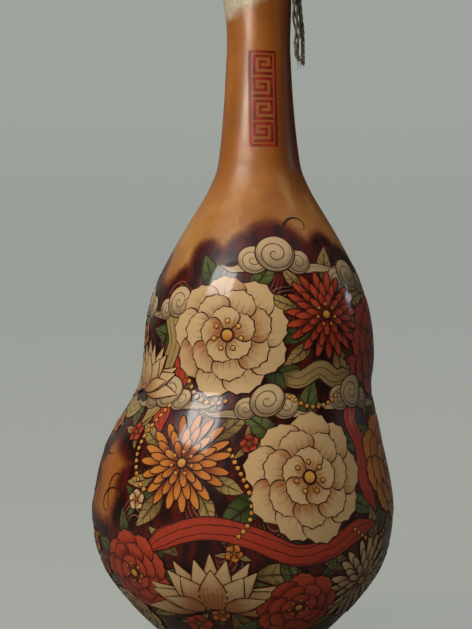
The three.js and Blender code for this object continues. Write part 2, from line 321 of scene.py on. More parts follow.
left_tail = strands("twine_end_left", plies(left_line, LEFT_OPENING), PLY_WIDTH)
right_tail = strands("twine_end_right", plies(right_line, RIGHT_OPENING), PLY_WIDTH)
print("faces on one end:", len(left_tail.data.polygons))

# %% [markdown]
# Above the loose ends the same twine goes three times round the stalk. Its line is a helix, made by a
# loop over its angle, because a hand-drawn curve would hardly be even. At both ends it leaves the stalk
# on a straight line that just touches the turns, and runs into the knot. The gourd's axis crooks at its
# top, and the turns follow it.

# %% Binding
TWINE = 1.3 * MM
TURNS = 3
TURN_STEPS = 60
LEAD_STEPS = 12
LEAD_HIDDEN = 4
BINDING_RADIUS = 4.95 * MM
KNOT_REACH = 7.8 * MM
KNOT_ANGLE = math.radians(-15)
LEAN = 5 * MM
CROOK_START = 190 * MM
CROOK_RADIUS = 125 * MM


def crook(height):
    """How far to the right the gourd's axis is at a height above its waist."""
    return LEAN - max(0, height - CROOK_START) ** 2 / (2 * CROOK_RADIUS)


def on_binding(angle, along, height):
    """A place on the turns, or on the straight that leaves them at that angle."""
    x = BINDING_RADIUS * math.cos(angle) - along * math.sin(angle)
    y = BINDING_RADIUS * math.sin(angle) + along * math.cos(angle)
    return Vector((x + crook(height), y, height))


binding_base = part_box("cord_binding")[0][2] + TWINE / 2
binding_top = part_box("cord_binding")[1][2] - TWINE / 2
leave = math.acos(BINDING_RADIUS / KNOT_REACH)
straight = BINDING_RADIUS * math.tan(leave)
first_angle = KNOT_ANGLE + leave
wound_angle = 2 * math.pi * TURNS - 2 * leave
steps = TURNS * TURN_STEPS
binding_line = []
for i in range(LEAD_HIDDEN, LEAD_STEPS):
    binding_line.append(on_binding(first_angle, straight * (i / LEAD_STEPS - 1), binding_base))
for i in range(steps + 1):
    height = binding_base + (binding_top - binding_base) * i / steps
    binding_line.append(on_binding(first_angle + wound_angle * i / steps, 0, height))
for i in range(1, LEAD_STEPS - LEAD_HIDDEN + 1):
    binding_line.append(on_binding(first_angle + wound_angle, straight * i / LEAD_STEPS, binding_top))
binding = strands("twine_binding", plies(binding_line), PLY_WIDTH)
print("twine round the stalk:", round(length_of(binding_line) / MM), "mm")

# %% [markdown]
# The knot is close wraps round a core, as when a cord is whipped. A true knot could be drawn loop by
# loop, but at four millimetres across only its wraps are seen, so it is a second helix with a straight
# piece of twine inside.

# %% Knot
KNOT_RADIUS = 1.9 * MM
KNOT_WRAPS = 5
FIT_GAP = 0.3 * MM
CORE_STEPS = 12

knot_low, knot_high = (Vector(corner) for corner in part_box("cord_knot"))
knot_base = (knot_low + knot_high) / 2
knot_base.z = knot_low.z - FIT_GAP
knot_rise = knot_high.z - knot_base.z - TWINE
wrap_steps = KNOT_WRAPS * TURN_STEPS // 2


def up_knot(share):
    """A place on the knot's axis, from its lowest wrap to its highest."""
    return knot_base + Vector((0, 0, TWINE / 2 + knot_rise * share))


knot_line = []
for i in range(wrap_steps + 1):
    turn = 2 * math.pi * KNOT_WRAPS * i / wrap_steps
    wrap = Vector((math.cos(turn), math.sin(turn), 0)) * (KNOT_RADIUS - TWINE / 2)
    knot_line.append(up_knot(i / wrap_steps) + wrap)
core_line = [up_knot(i / CORE_STEPS) for i in range(CORE_STEPS + 1)]
knot = strands("twine_knot", plies(knot_line) + plies(core_line), PLY_WIDTH)
print("faces of the knot:", len(knot.data.polygons))

# %% [markdown]
# Cut twine frays. Each end opens into a few fine fibres, and short hairs stand off the rest of it. A hair
# system could grow them, but it isn't a mesh. Seeded draws bend each fibre by chance, the same in every
# run.

# %% Frayed fibres
FIBRE = 0.12 * MM
FRAY_COUNT = 9
FRAY_POINTS = 6
FRAY_SHORT = 2.5 * MM
FRAY_LONG = 5 * MM
FRAY = {"bend": 0.5 * MM, "reach": 1.1 * MM, "steps": 5}
FRAY_ROOT = 0.3 * MM
HAIR_COUNT = 40
HAIR_FIRST = 8
HAIR_LAST = 4
HAIR = {"bend": 0.7 * MM, "reach": 1.2 * MM, "steps": 4}
HAIR_ROOT = 0.2 * MM
rng = random.Random(11)


def stray(spread):
    """A step by chance in any direction."""
    return Vector([rng.uniform(-spread, spread) for _ in range(3)])


def fibre(start, drop, bend, reach, steps):
    """A fibre from a place down a drop, whose middle and end stray by chance."""
    middle = start + drop / 2 + stray(bend)
    end = start + drop + stray(reach)
    return smooth_line([start, middle, end], steps)


fibres = []
for line in (left_line, right_line):
    opened = line[-FRAY_POINTS]
    for _ in range(FRAY_COUNT):
        start = opened + stray(FRAY_ROOT)
        drop = (line[-1] - opened).normalized() * rng.uniform(FRAY_SHORT, FRAY_LONG)
        fibres.append(fibre(start, drop, **FRAY))
    for _ in range(HAIR_COUNT):
        start = line[rng.randrange(HAIR_FIRST, len(line) - HAIR_LAST)] + stray(HAIR_ROOT)
        fibres.append(fibre(start, Vector(), **HAIR))
fray = strands("twine_fibres", fibres, FIBRE)
print("fibres:", len(fibres))

# %% [markdown]
# The twine is old grey-brown hemp. Its fuzz is noise that is drawn out upwards, which gives both the
# darker streaks and a fine relief, and a little sheen stands for hairs too fine to model. Then each piece
# rides on the gourd, and the packed pieces that the twine stands for are hidden.

# %% Twine finish
HEMP = srgb(114, 106, 94)
HEMP_DARK = srgb(52, 47, 41)
DIRT = 2.5 * MM
FUZZ = 0.25 * MM
FUZZ_DEPTH = 0.1 * MM
TWINE_PIECES = {
    "cord_tail_left": left_tail,
    "cord_tail_right": right_tail,
    "cord_binding": binding,
    "cord_knot": knot,
}


def twine_finish():
    made, shade, surface = new_finish("hemp_twine")
    dirt = noise(shade, DIRT)
    fuzz = noise(shade, FUZZ, 2, (1, 1, 0.3))
    shade.feed(surface, {
        "Base Color": (dirt * 0.6 + fuzz * 0.5).step(0.75, 0.3).mix(HEMP, HEMP_DARK),
        "Roughness": 0.75 + fuzz * 0.2,
        "Normal": bump(shade, fuzz, FUZZ_DEPTH),
        "Sheen Weight": 0.2,
    })
    return made


hemp = twine_finish()
for piece in (*TWINE_PIECES.values(), fray):
    piece.data.materials.append(hemp)
    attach(piece, "gourd")
for node, piece in TWINE_PIECES.items():
    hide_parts(node)
length_of(left_line)
length_of(right_line)

# %% [markdown]
# The rind is a turned form on an axis that leans and crooks. Its sizes could be typed in again, but the
# packed shell already has them: the vertices of each ring give its radius and its middle. A ray from the
# right tells the outer rings from those of the inner wall, because it meets them before anything else.

# %% Measure the rings of the rind
TOUCH = 0.01 * MM
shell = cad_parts["gourd_shell"].data
corners = [vertex.co for vertex in shell.vertices]
shell_tree = BVHTree.FromPolygons(corners, [face.vertices for face in shell.polygons])
rings = []
for height in sorted({round(corner.z, 6) for corner in corners}):
    across = [corner.x for corner in corners if abs(corner.z - height) < TOUCH]
    left = min(across)
    right = max(across)
    met = shell_tree.ray_cast(Vector((1, 0, height)), Vector((-1, 0, 0)))[0]
    if met is None or met.x < right + TOUCH:
        rings.append(Vector(((right - left) / 2, (right + left) / 2, height)))
print("outer rings:", len(rings), "up to", round(rings[-1].z / MM, 1), "mm")

# %% [markdown]
# A smooth line through the rings is a finer outline than the packed shell has. A list of heights, and of
# how much fuller the skin is there in millimetres, trims it: drawn in where the design will lie on it,
# and a little fuller at the shoulder and the neck, as in the photograph. A place on the skin is then an
# angle from the front and a way up from the foot, which suits the drawing of a design. A grown thing is
# never quite round, so two slow waves lift and lower the skin a little.

# %% A finer outline
OUTLINE_STEPS = 7
TRIM = [
    (0, 0), (10, 0), (24, -0.5), (60, -0.3), (86, -0.4), (96, -0.9), (104, -1.1), (110, -0.8), (118, 0),
    (128, 0.5), (134, 0.5), (142, 0.2), (155, 0.3), (178, 0.2), (190, 0), (220, 0),
]
SWELL = 0.18 * MM
SWELL_FADE = 12 * MM
SWELL_WAVES = [(1, 2, 45), (0.6, 5, -80)]


def run_of(steps):
    """How far along a line each of its places is, from the steps between them."""
    return np.concatenate([[0], np.cumsum(np.linalg.norm(steps, axis=1))])


RADIUS, AXIS, HEIGHT = np.array(smooth_line(rings, OUTLINE_STEPS)).T
trim = np.array(smooth_line([(height, fuller, 0) for height, fuller in TRIM], OUTLINE_STEPS)) * MM
RADIUS = RADIUS + np.interp(HEIGHT, trim[:, 0], trim[:, 1])
WAY = run_of(np.diff(np.stack([RADIUS, HEIGHT], axis=-1), axis=0))
OUT_R = np.gradient(HEIGHT, WAY)
OUT_Z = -np.gradient(RADIUS, WAY)


def radius_at(way):
    return np.interp(way, WAY, RADIUS)


def on_rind(angle, way, lift):
    """Places at an angle from the front, some way up the skin from the foot, and lifted off it."""
    fade = np.clip(way / SWELL_FADE, 0, 1) * np.clip((WAY[-1] - way) / SWELL_FADE, 0, 1)
    waves = sum(share * np.sin(count * angle + climb * way) for share, count, climb in SWELL_WAVES)
    lift = lift + SWELL * fade * waves
    reach = radius_at(way) + lift * np.interp(way, WAY, OUT_R)
    x = reach * np.sin(angle) + np.interp(way, WAY, AXIS)
    z = np.interp(way, WAY, HEIGHT) + lift * np.interp(way, WAY, OUT_Z)
    return np.stack([x, -reach * np.cos(angle), z], axis=-1)


print("way from the foot to the seat:", round(WAY[-1] / MM, 1), "mm")

# %% [markdown]
# The rind is a hollow shell: a blossom dimple in the foot, the outside up to the seat of the stalk, the
# hole for the stalk's root, and the inner wall. A Solidify modifier could make the wall from the outside
# alone, but then the floor and the hole would not be where the packed model has them. So the whole
# cross-section is one line, out and back in.

# %% Cross-section of the rind
RIND_THICKNESS = 3.6 * MM
ROOT_HOLE_RADIUS = 4.3 * MM
SEAT_THICKNESS = 5.4 * MM
DIMPLE_RADIUS = 9 * MM
DIMPLE_DEPTH = 1.6 * MM
DIMPLE_STEPS = 5
INSIDE_EVERY = 3

rind_profile = []
for i in range(DIMPLE_STEPS + 1):
    dip = DIMPLE_DEPTH * math.cos(math.pi / 2 * i / DIMPLE_STEPS)
    rind_profile.append((DIMPLE_RADIUS * i / DIMPLE_STEPS, dip))
rind_profile += list(zip(RADIUS, HEIGHT))
hole_foot = HEIGHT[-1] - SEAT_THICKNESS
rind_profile += [(ROOT_HOLE_RADIUS, HEIGHT[-1]), (ROOT_HOLE_RADIUS, hole_foot)]
inside_radius = RADIUS - RIND_THICKNESS * OUT_R
inside_height = HEIGHT - RIND_THICKNESS * OUT_Z
for radius, height in list(zip(inside_radius, inside_height))[::-INSIDE_EVERY]:
    if radius > ROOT_HOLE_RADIUS and RIND_THICKNESS < height < hole_foot:
        rind_profile.append((radius, height))
floor_radius = np.interp(RIND_THICKNESS, inside_height, inside_radius)
rind_profile += [(floor_radius, RIND_THICKNESS), (DIMPLE_RADIUS, RIND_THICKNESS)]
rind_profile.append((0, RIND_THICKNESS + DIMPLE_DEPTH))
print("points in the section:", len(rind_profile), "floor:", round(floor_radius / MM, 1), "mm")

# %% [markdown]
# Spinning the section makes a straight turned form. Each ring is then moved onto its axis, and the
# outside is also given its slight unevenness. The piece takes the place of the packed shell, which is
# hidden. The piece replaces the packed shell, which stays in the model for collision.

# %% Spin the rind
RIND_STEPS = 180


def spun(profile, steps):
    """A turned form, from pairs of radius and height."""
    bm = bmesh.new()
    chain = [bm.verts.new((radius, 0, height)) for radius, height in profile]
    for start, end in zip(chain, chain[1:]):
        bm.edges.new((start, end))
    line = bm.verts[:] + bm.edges[:]
    bmesh.ops.spin(bm, geom=line, axis=(0, 0, 1), angle=2 * math.pi, steps=steps, use_merge=True)
    bmesh.ops.remove_doubles(bm, verts=bm.verts, dist=TOUCH)
    bmesh.ops.recalc_face_normals(bm, faces=bm.faces)
    for face in bm.faces:
        face.smooth = True
    return bm


def new_object(name, bm):
    """An object of that mesh, at the origin."""
    mesh = bpy.data.meshes.new(name)
    bm.to_mesh(mesh)
    bm.free()
    made = bpy.data.objects.new(name, mesh)
    bpy.context.collection.objects.link(made)
    return made


def new_piece(name, bm):
    """An object that rides on the gourd."""
    piece = new_object(name, bm)
    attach(piece, "gourd")
    return piece


bm = spun(rind_profile, RIND_STEPS)
way_up = {round(height, 7): way for height, way in zip(HEIGHT, WAY)}
for vert in bm.verts:
    way = way_up.get(round(vert.co.z, 7))
    if way is not None and vert.co.xy.length > radius_at(way) - TOUCH:
        vert.co = on_rind(math.atan2(vert.co.x, -vert.co.y), way, 0)
    else:
        vert.co.x += np.interp(vert.co.z, HEIGHT, AXIS)
rind = new_piece("rind", bm)
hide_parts("gourd_shell")
print("faces of the rind:", len(rind.data.polygons))

# %% [markdown]
# The stalk is what is left of the vine: a collar that grips the crown, a stem, and an end that was cut
# and has dried into a shallow dish. A cylinder could be scaled ring by ring, but it is spun from its
# section, as the rind is. Two short lists, in millimetres, give the collar's radius and height above its
# foot, and the end's radius and depth below the cut.

# %% Section of the stalk
STALK_RADIUS = 4 * MM
COLLAR_LINE = [(5.9, 0), (6.5, 0.6), (6.0, 1.6), (4.7, 3.2), (4.0, 4.5)]
COLLAR_STEPS = 4
STEM_STEPS = 12
STALK_END = 3 * MM
END_LINE = [(4.6, 0.5), (4.3, 0), (2.0, 0.3), (0, 0.6)]
stalk_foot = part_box("stalk")[0][2]
stalk_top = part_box("stalk")[1][2]
collar_foot = HEIGHT[-1] + FIT_GAP
rib_start = binding_top + TWINE / 2

stalk_profile = [(0, stalk_foot), (STALK_RADIUS, stalk_foot), (STALK_RADIUS, collar_foot)]
for point in smooth_line([(radius, 0, height) for radius, height in COLLAR_LINE], COLLAR_STEPS):
    stalk_profile.append((point.x * MM, collar_foot + point.z * MM))
for i in range(STEM_STEPS + 1):
    stalk_profile.append((STALK_RADIUS, rib_start + (stalk_top - STALK_END - rib_start) * i / STEM_STEPS))
stalk_profile += [(radius * MM, stalk_top - depth * MM) for radius, depth in END_LINE]
print("points in the section:", len(stalk_profile))

# %% [markdown]
# Above the binding the stem has five ribs that twist a little, and all of it is fibrous. Both could be
# cut as grooves. Here every vertex of the spun form is drawn in or out by its angle, which keeps the mesh
# even.

# %% Ribs and fibres of the stalk
STALK_SIDES = 124
RIBS = 5
RIB_DEPTH = 0.55 * MM
RIB_LEAD = 210 * MM
FIBRES = 31
FINE_FIBRES = 68.2
FIBRE_DEPTH = 0.07 * MM
COLLAR_HEIGHT = COLLAR_LINE[-1][1] * MM

bm = spun(stalk_profile, STALK_SIDES)
for vert in bm.verts:
    height = vert.co.z
    turn = math.atan2(vert.co.y, vert.co.x) + 2 * math.pi * (height - rib_start) / RIB_LEAD
    ribbed = held((height - rib_start) / STALK_END)
    showing = held((height - collar_foot) / COLLAR_HEIGHT)
    furrow = ribbed * RIB_DEPTH * math.cos(RIBS * turn)
    furrow += showing * FIBRE_DEPTH * (math.cos(FIBRES * turn) + math.sin(FINE_FIBRES * turn) - 2)
    vert.co.x *= 1 + furrow / STALK_RADIUS
    vert.co.y *= 1 + furrow / STALK_RADIUS
    vert.co.x += crook(height)
stalk = new_piece("stalk_wood", bm)
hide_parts("stalk")
print("faces of the stalk:", len(stalk.data.polygons))

# %% [markdown]
# The design is flowers, leaves, scroll clouds and ribbons, each a patch of stain with a burned line round
# it. Drawing it in a shader would make a formula for every petal. Here each patch is a thin film on the
# rind: a flat grid or disc is bent to its outline and laid round the gourd. Its outermost faces are the
# burned line.

# %% Flat forms for the films
class Form:
    """A flat shape for films, and where its vertices lie across it (-1 to 1) and along it (0 to 1)."""

    def __init__(self, name, bm):
        for face in bm.faces:
            face.smooth = True
        for edge in bm.edges:
            edge.smooth = not edge.is_boundary
        self.mesh = bpy.data.meshes.new(name)
        bm.to_mesh(self.mesh)
        bm.free()
        self.across = np.array([vertex.co.x for vertex in self.mesh.vertices])
        self.along = np.array([vertex.co.y / 2 + 0.5 for vertex in self.mesh.vertices])


def grid_form(name, columns, rows):
    """A grid whose outermost faces take the second material, for the burned line."""
    bm = bmesh.new()
    bmesh.ops.create_grid(bm, x_segments=columns, y_segments=rows, size=1)
    for face in bm.faces:
        middle = face.calc_center_median()
        on_line = abs(middle.x) > 1 - 2 / columns or abs(middle.y) > 1 - 2 / rows
        face.material_index = int(on_line)
    form = Form(name, bm)
    form.columns = columns
    form.rows = rows
    return form


def disc_form(name, sides, line_share, rings):
    """A disc of rings inside its burned line."""
    bm = bmesh.new()
    bmesh.ops.create_circle(bm, cap_ends=True, segments=sides, radius=1)
    inset = {"faces": bm.faces[:], "use_even_offset": True, "use_boundary": True}
    for face in bmesh.ops.inset_region(bm, thickness=line_share, **inset)["faces"]:
        face.material_index = 1
    for _ in range(rings):
        bmesh.ops.inset_region(bm, thickness=(1 - line_share) / (rings + 1), **inset)
    return Form(name, bm)


PETAL = grid_form("petal_form", columns=10, rows=8)
LEAF = grid_form("leaf_form", columns=6, rows=9)
SLIVER = grid_form("sliver_form", columns=6, rows=8)
RIBBON = grid_form("ribbon_form", columns=6, rows=60)
WISP = grid_form("wisp_form", columns=4, rows=16)
STROKE = grid_form("stroke_form", columns=2, rows=26)
BAR = grid_form("bar_form", columns=3, rows=12)
LOBE = disc_form("lobe_form", sides=36, line_share=0.07, rings=4)
DISC = disc_form("disc_form", sides=28, line_share=0.09, rings=2)
BEAD = disc_form("bead_form", sides=14, line_share=0.28, rings=0)
print("faces of a petal, a disc and a bead:", [len(form.mesh.polygons) for form in (PETAL, DISC, BEAD)])

# %% [markdown]
# Thousands of films as objects of their own would be slow and hard to keep, so all films of one stain are
# gathered in one mesh. Each vertex also keeps three marks: how far across and along its film it is, and a
# tint that differs from film to film. The finishes read them later.

# %% Films of each stain
STAINS = [
    "cream", "coral", "amber", "green", "khaki", "cloud", "silk", "sash",
    "bead", "wave", "burn", "chalk", "fret",
]


class Films:
    """All films of one stain, gathered in one mesh."""

    def __init__(self, name):
        self.name = name
        self.bm = bmesh.new()
        self.places = []
        self.marks = {"across": [], "along": [], "tint": []}

    def add(self, form, places, along=None):
        """Adds a copy of a form with its vertices at those places."""
        self.bm.from_mesh(form.mesh)
        self.places.append(places)
        self.marks["across"].append(form.across)
        self.marks["along"].append(form.along if along is None else along)
        self.marks["tint"].append(np.full(len(places), rng.random()))


films = {stain: Films("stain_" + stain) for stain in STAINS}
print("stains:", len(films))

# %% [markdown]
# A film is drawn flat and then laid on the skin, as a sticker is: its places go sideways round the gourd
# and up its outline from a spot. A Shrinkwrap modifier could do that too, but the outline already gives
# every place exactly.

# %% Where films lie
LOWEST_WAY = 0.5 * MM


def spot(angle, height):
    """The angle and the way up the rind of a place given in degrees and millimetres."""
    return math.radians(angle), np.interp(height * MM, HEIGHT, WAY)


def turn_flat(flat, turn):
    """Flat places after a turn to the left."""
    cosine = math.cos(turn)
    sine = math.sin(turn)
    return flat @ np.array([[cosine, sine], [-sine, cosine]])


def lay(flat, centre, turn, lift):
    """Lays flat places round a spot on the rind, after a turn to the left."""
    x, y = turn_flat(flat, turn).T
    way = np.clip(centre[1] + y, LOWEST_WAY, WAY[-1])
    return on_rind(centre[0] + x / radius_at(way), way, lift)


def disc(form, radius):
    """Flat places of a disc of that radius."""
    return np.stack([form.across, 2 * form.along - 1], axis=-1) * radius


widest = spot(0, HEIGHT[RADIUS.argmax()] / MM)
print("front of the belly:", np.round(on_rind(*widest, 0) / MM, 1), "mm")

# %% [markdown]
# A petal or a leaf starts as a grid. Its columns spread to the width that the shape has at each row, the
# outermost column to the edge and the next one in by the burned line's width, so that the line is even
# all round. The rows of a round petal bow, and the end of a full one is scalloped.

# %% Petal and leaf shapes
LINE = 0.4 * MM
LINE_SHARE = 0.12
INNER_SHARE = 0.5
EDGE = 0.99
LEAST_REACH = 0.01
CORNER_LINE = 0.8
CORNER_SHARE = 0.5
WIDTH_STEPS = 6
SHAPES = {
    "peony": {"widths": (0.25, 0.75, 1.0, 0.98, 0.72), "bow": 0.2, "scallops": 2.6, "ripple": 0.035},
    "mum": {"widths": (0.4, 0.75, 1.0, 0.98, 0.66), "bow": 0.1},
    "plum": {"widths": (0.25, 0.85, 1.05, 1.0, 0.6), "bow": 0.22},
    "lotus": {"widths": (0.3, 0.9, 1.0, 0.62, 0.04)},
    "leaf": {"widths": (0.08, 0.8, 1.0, 0.66, 0.04)},
}


def spread(form, half):
    """Moves a grid's columns out to a half width, with the burned line in the outermost one."""
    outermost = np.abs(form.across) > EDGE
    inner = np.maximum(half - LINE, INNER_SHARE * half) / max(1 - 2 / form.columns, LEAST_REACH)
    return np.where(outermost, np.sign(form.across) * half, form.across * inner)


def open_corners(form, flat):
    """Moves the inner vertex of a corner face inwards where a round outline would fold the face."""
    net = flat.reshape(form.rows + 1, form.columns + 1, 2)
    for row, next_row in ((0, 1), (-1, -2)):
        for column, next_column in ((0, 1), (-1, -2)):
            start = net[row, next_column]
            end = net[next_row, column]
            chord = np.hypot(*(end - start))
            inward = np.array([start[1] - end[1], end[0] - start[0]]) / chord
            inward *= np.sign(inward @ (flat.mean(axis=0) - start))
            depth = inward @ (net[next_row, next_column] - (start + end) / 2)
            wanted = min(CORNER_LINE * LINE, CORNER_SHARE * chord)
            net[next_row, next_column] += inward * max(0, wanted - depth)
    return flat


def shaped(form, length, width, widths, bow=0, scallops=0, ripple=0, sway=0):
    """Flat places of a grid bent to a petal or leaf whose tip sways to one side."""
    knots = [(i / (len(widths) - 1), share, 0) for i, share in enumerate(widths)]
    knots = np.array(smooth_line(knots, WIDTH_STEPS))
    line = min(LINE, LINE_SHARE * length)
    row = 1 / form.rows
    y = np.interp(form.along, [0, row, 1 - row, 1], [0, line, length - line, length])
    share = y / length
    half = np.interp(share, knots[:, 0], knots[:, 1]) * width / 2
    x = spread(form, half)
    out = x / np.maximum(half, TOUCH)
    y = y - bow * length * share * out**2
    y = y + ripple * length * share**3 * np.cos(scallops * math.pi * out)
    flat = np.stack([x + sway * share**2, y], axis=-1)
    return open_corners(form, flat) if bow else flat


print("shapes:", list(SHAPES))

# %% [markdown]
# A flower seen from the front is rings of petals, the lowest ring first, and an eye with stamens. Films
# in the same place would flicker through each other, so every ring lies a few hundredths of a millimetre
# above the last, and each petal slopes a little: its root lies deep, and one edge is under its neighbour,
# as in a real flower.

# %% Flowers from the front
RING_LIFT = 0.06 * MM
TILT = 0.022 * MM
ROOT_DROP = 0.03 * MM
BLOOM_RINGS = {
    "peony": [(9, 0.20, 0.30, 0.36), (7, 0.12, 0.25, 0.31), (5, 0.03, 0.2, 0.25)],
    "mum": [(19, 0.2, 0.3, 0.1), (15, 0.12, 0.26, 0.095), (11, 0.05, 0.2, 0.09)],
    "plum": [(5, 0.04, 0.46, 0.5)],
}
PETAL_SWING = 0.05
PETAL_SIZES = (0.94, 1.06)
EYE = 0.06
STAMENS = 7
STAMEN_REACH = 1.9
STAMEN = 0.4


def slant(form, side):
    """A petal's slope, down to its root and to one side."""
    return side * TILT * form.across - ROOT_DROP * (1 - form.along)


def bloom(kind, stain, centre, width, lift):
    """A flower of that width, whose rings have a count of petals, and their root, length and breadth."""
    form = PETAL if kind == "peony" else SLIVER
    first = rng.random()
    for ring, (count, root, length, breadth) in enumerate(BLOOM_RINGS[kind]):
        for i in range(count):
            turn = 2 * math.pi * (i + first + ring / 2) / count + rng.uniform(-PETAL_SWING, PETAL_SWING)
            size = length * width * rng.uniform(*PETAL_SIZES)
            flat = shaped(form, size, breadth * width, **SHAPES[kind])
            flat[:, 1] += root * width
            films[stain].add(form, lay(flat, centre, turn, lift + ring * RING_LIFT + slant(form, 1)))
    level = lift + len(BLOOM_RINGS[kind]) * RING_LIFT
    eye = EYE * width
    films["bead"].add(BEAD, lay(disc(BEAD, eye), centre, 0, level))
    for i in range(STAMENS):
        turn = 2 * math.pi * i / STAMENS
        seat = np.array([math.sin(turn), math.cos(turn)]) * STAMEN_REACH * eye
        films["bead"].add(BEAD, lay(disc(BEAD, STAMEN * eye) + seat, centre, 0, level))


print("petals of a peony:", sum(ring[0] for ring in BLOOM_RINGS["peony"]))

# %% [markdown]
# A lotus is drawn from the side, with rows of pointed petals that fan out from its foot. Leaves look out
# from behind each flower. Both use the same shaped grids as the flowers do, so they need few lines of
# their own.

# %% Lotus and leaves
LOTUS_ROWS = [(7, 86, 0.54, 0.19), (6, 62, 0.5, 0.21), (3, 30, 0.4, 0.24), (2, 64, 0.36, 0.17)]
LOTUS_SWAY = 0.0008
LOTUS_ROOT = 0.0012
LOTUS_FOOT = 0.28
LEAF_SWING = 0.25
LEAF_SIZES = (0.8, 1.15)
LEAF_SWAY = 0.25
LEAF_BREADTH = 0.46
LEAF_LAYERS = 3
LEAF_LIFT = 0.03 * MM
LAYER = 0.02 * MM


def lotus(stain, centre, width, lift):
    """A lotus whose rows have a count of petals, and their spread in degrees, length and breadth."""
    for row, (count, spread_out, length, breadth) in enumerate(LOTUS_ROWS):
        for i in range(count):
            lean = spread_out * (1 - 2 * i / (count - 1))
            sway = -LOTUS_SWAY * lean * width
            flat = shaped(PETAL, length * width, breadth * width, sway=sway, **SHAPES["lotus"])
            root = np.array([-LOTUS_ROOT * lean * width, -LOTUS_FOOT * width])
            turned = turn_flat(flat, math.radians(lean)) + root
            level = lift + row * RING_LIFT + slant(PETAL, -np.sign(lean))
            films[stain].add(PETAL, lay(turned, centre, 0, level))


def leaves(stain, centre, radius, count, length):
    """Leaves that look out from behind a flower."""
    first = rng.random()
    for i in range(count):
        turn = 2 * math.pi * (i + first) / count + rng.uniform(-LEAF_SWING, LEAF_SWING)
        size = length * rng.uniform(*LEAF_SIZES)
        sway = rng.uniform(-LEAF_SWAY, LEAF_SWAY) * size
        flat = shaped(LEAF, size, LEAF_BREADTH * size, sway=sway, **SHAPES["leaf"])
        flat[:, 1] += radius
        level = LEAF_LIFT + rng.randrange(LEAF_LAYERS) * LAYER
        films[stain].add(LEAF, lay(flat, centre, turn, level))


print("petals of a lotus:", sum(row[0] for row in LOTUS_ROWS))

# %% [markdown]
# The layout is a list, because chance makes no good composition: each flower's kind, stain, angle from
# the front in degrees, height and width in millimetres. Neighbours lie in different tiers, so that where
# they overlap one is clearly in front.

# %% Flowers
FLOWER_LIFT = 0.26 * MM
TIER_LIFT = 0.11 * MM
FLOWERS = [
    ("peony", "cream", -16, 97, 37), ("mum", "coral", 34, 103, 27), ("lotus", "cream", -68, 88, 29),
    ("peony", "coral", 76, 94, 32), ("peony", "cream", 25, 56, 39), ("mum", "amber", -24, 60, 29),
    ("peony", "coral", -46, 27, 27), ("lotus", "cream", -12, 26, 36), ("peony", "amber", 76, 57, 34),
    ("mum", "cream", 54, 24, 29), ("peony", "coral", 24, 18, 25), ("mum", "coral", 96, 22, 28),
    ("peony", "cream", 126, 96, 36), ("mum", "amber", 174, 100, 30), ("peony", "coral", -140, 96, 35),
    ("mum", "cream", -104, 100, 27), ("peony", "cream", 124, 51, 38), ("mum", "coral", 168, 60, 31),
    ("peony", "cream", -152, 49, 38), ("lotus", "coral", -114, 58, 32), ("peony", "amber", 148, 18, 27),
    ("mum", "cream", -172, 18, 27), ("peony", "coral", -128, 20, 28), ("mum", "amber", -88, 19, 22),
    ("peony", "cream", -64, 13, 20),
]
LEAF_STAINS = ["green", "khaki"]
LEAF_COUNT = 7
LEAF_ROOT = 0.34
LEAF_LENGTH = 0.44
tiers = []
for i, (kind, stain, angle, height, width) in enumerate(FLOWERS):
    centre = spot(angle, height)
    width = width * MM
    where = Vector(on_rind(*centre, 0))
    taken = [tier for other, reach, tier in tiers if (other - where).length < (reach + width) / 2]
    tier = min(free for free in range(len(FLOWERS)) if free not in taken)
    tiers.append((where, width, tier))
    if kind == "lotus":
        lotus(stain, centre, width, FLOWER_LIFT + tier * TIER_LIFT)
    else:
        bloom(kind, stain, centre, width, FLOWER_LIFT + tier * TIER_LIFT)
    leaves(LEAF_STAINS[i % 2], centre, LEAF_ROOT * width, LEAF_COUNT, LEAF_LENGTH * width)
print("flowers:", len(FLOWERS), "tiers:", 1 + max(tier for _, _, tier in tiers))

# %% [markdown]
# Ribbons, wisps and burned strokes are long films that follow a path on the skin. A curve object could be
# laid there, but its ends would need caps and its line another curve. A long grid takes both from the
# same columns as a petal.

# %% Bands along a path
PATH_STEPS = 12
END_SHARE = 0.08


def run_along(form, path, width, ends):
    """Places of a long film on a path of spots, narrower towards its ends, and its length in widths."""
    fine = np.array(smooth_line([(angle, way, 0) for angle, way in path], PATH_STEPS))[:, :2]
    radius = radius_at(fine[:, 1])
    gone = run_of(np.diff(fine, axis=0) * np.stack([radius[:-1], np.ones(len(fine) - 1)], axis=-1))
    share = form.along
    angle = np.interp(share * gone[-1], gone, fine[:, 0])
    way = np.interp(share * gone[-1], gone, fine[:, 1])
    ahead_x = np.interp(share * gone[-1], gone, np.gradient(fine[:, 0], gone) * radius)
    ahead_y = np.interp(share * gone[-1], gone, np.gradient(fine[:, 1], gone))
    size = np.hypot(ahead_x, ahead_y)
    half = width / 2 * np.clip(np.minimum(share, 1 - share) / ends + END_SHARE, 0, 1)
    offset = spread(form, half)
    new_way = np.clip(way - offset * ahead_x / size, LOWEST_WAY, WAY[-1])
    new_angle = angle + offset * ahead_y / size / radius_at(new_way)
    return new_angle, new_way, share * gone[-1] / width


def band(stain, form, path, width, ends, lift):
    """Adds a long film along a path."""
    angle, way, along = run_along(form, path, width, ends)
    films[stain].add(form, on_rind(angle, way, lift), along)


print("faces of a ribbon and a stroke:", [len(form.mesh.polygons) for form in (RIBBON, STROKE)])

# %% [markdown]
# Scroll clouds are an old ornament: curled lobes with thin wisps to both sides. The curl is only a line
# in the stain, so a lobe can be a plain disc, and the finish draws the spiral on it later.

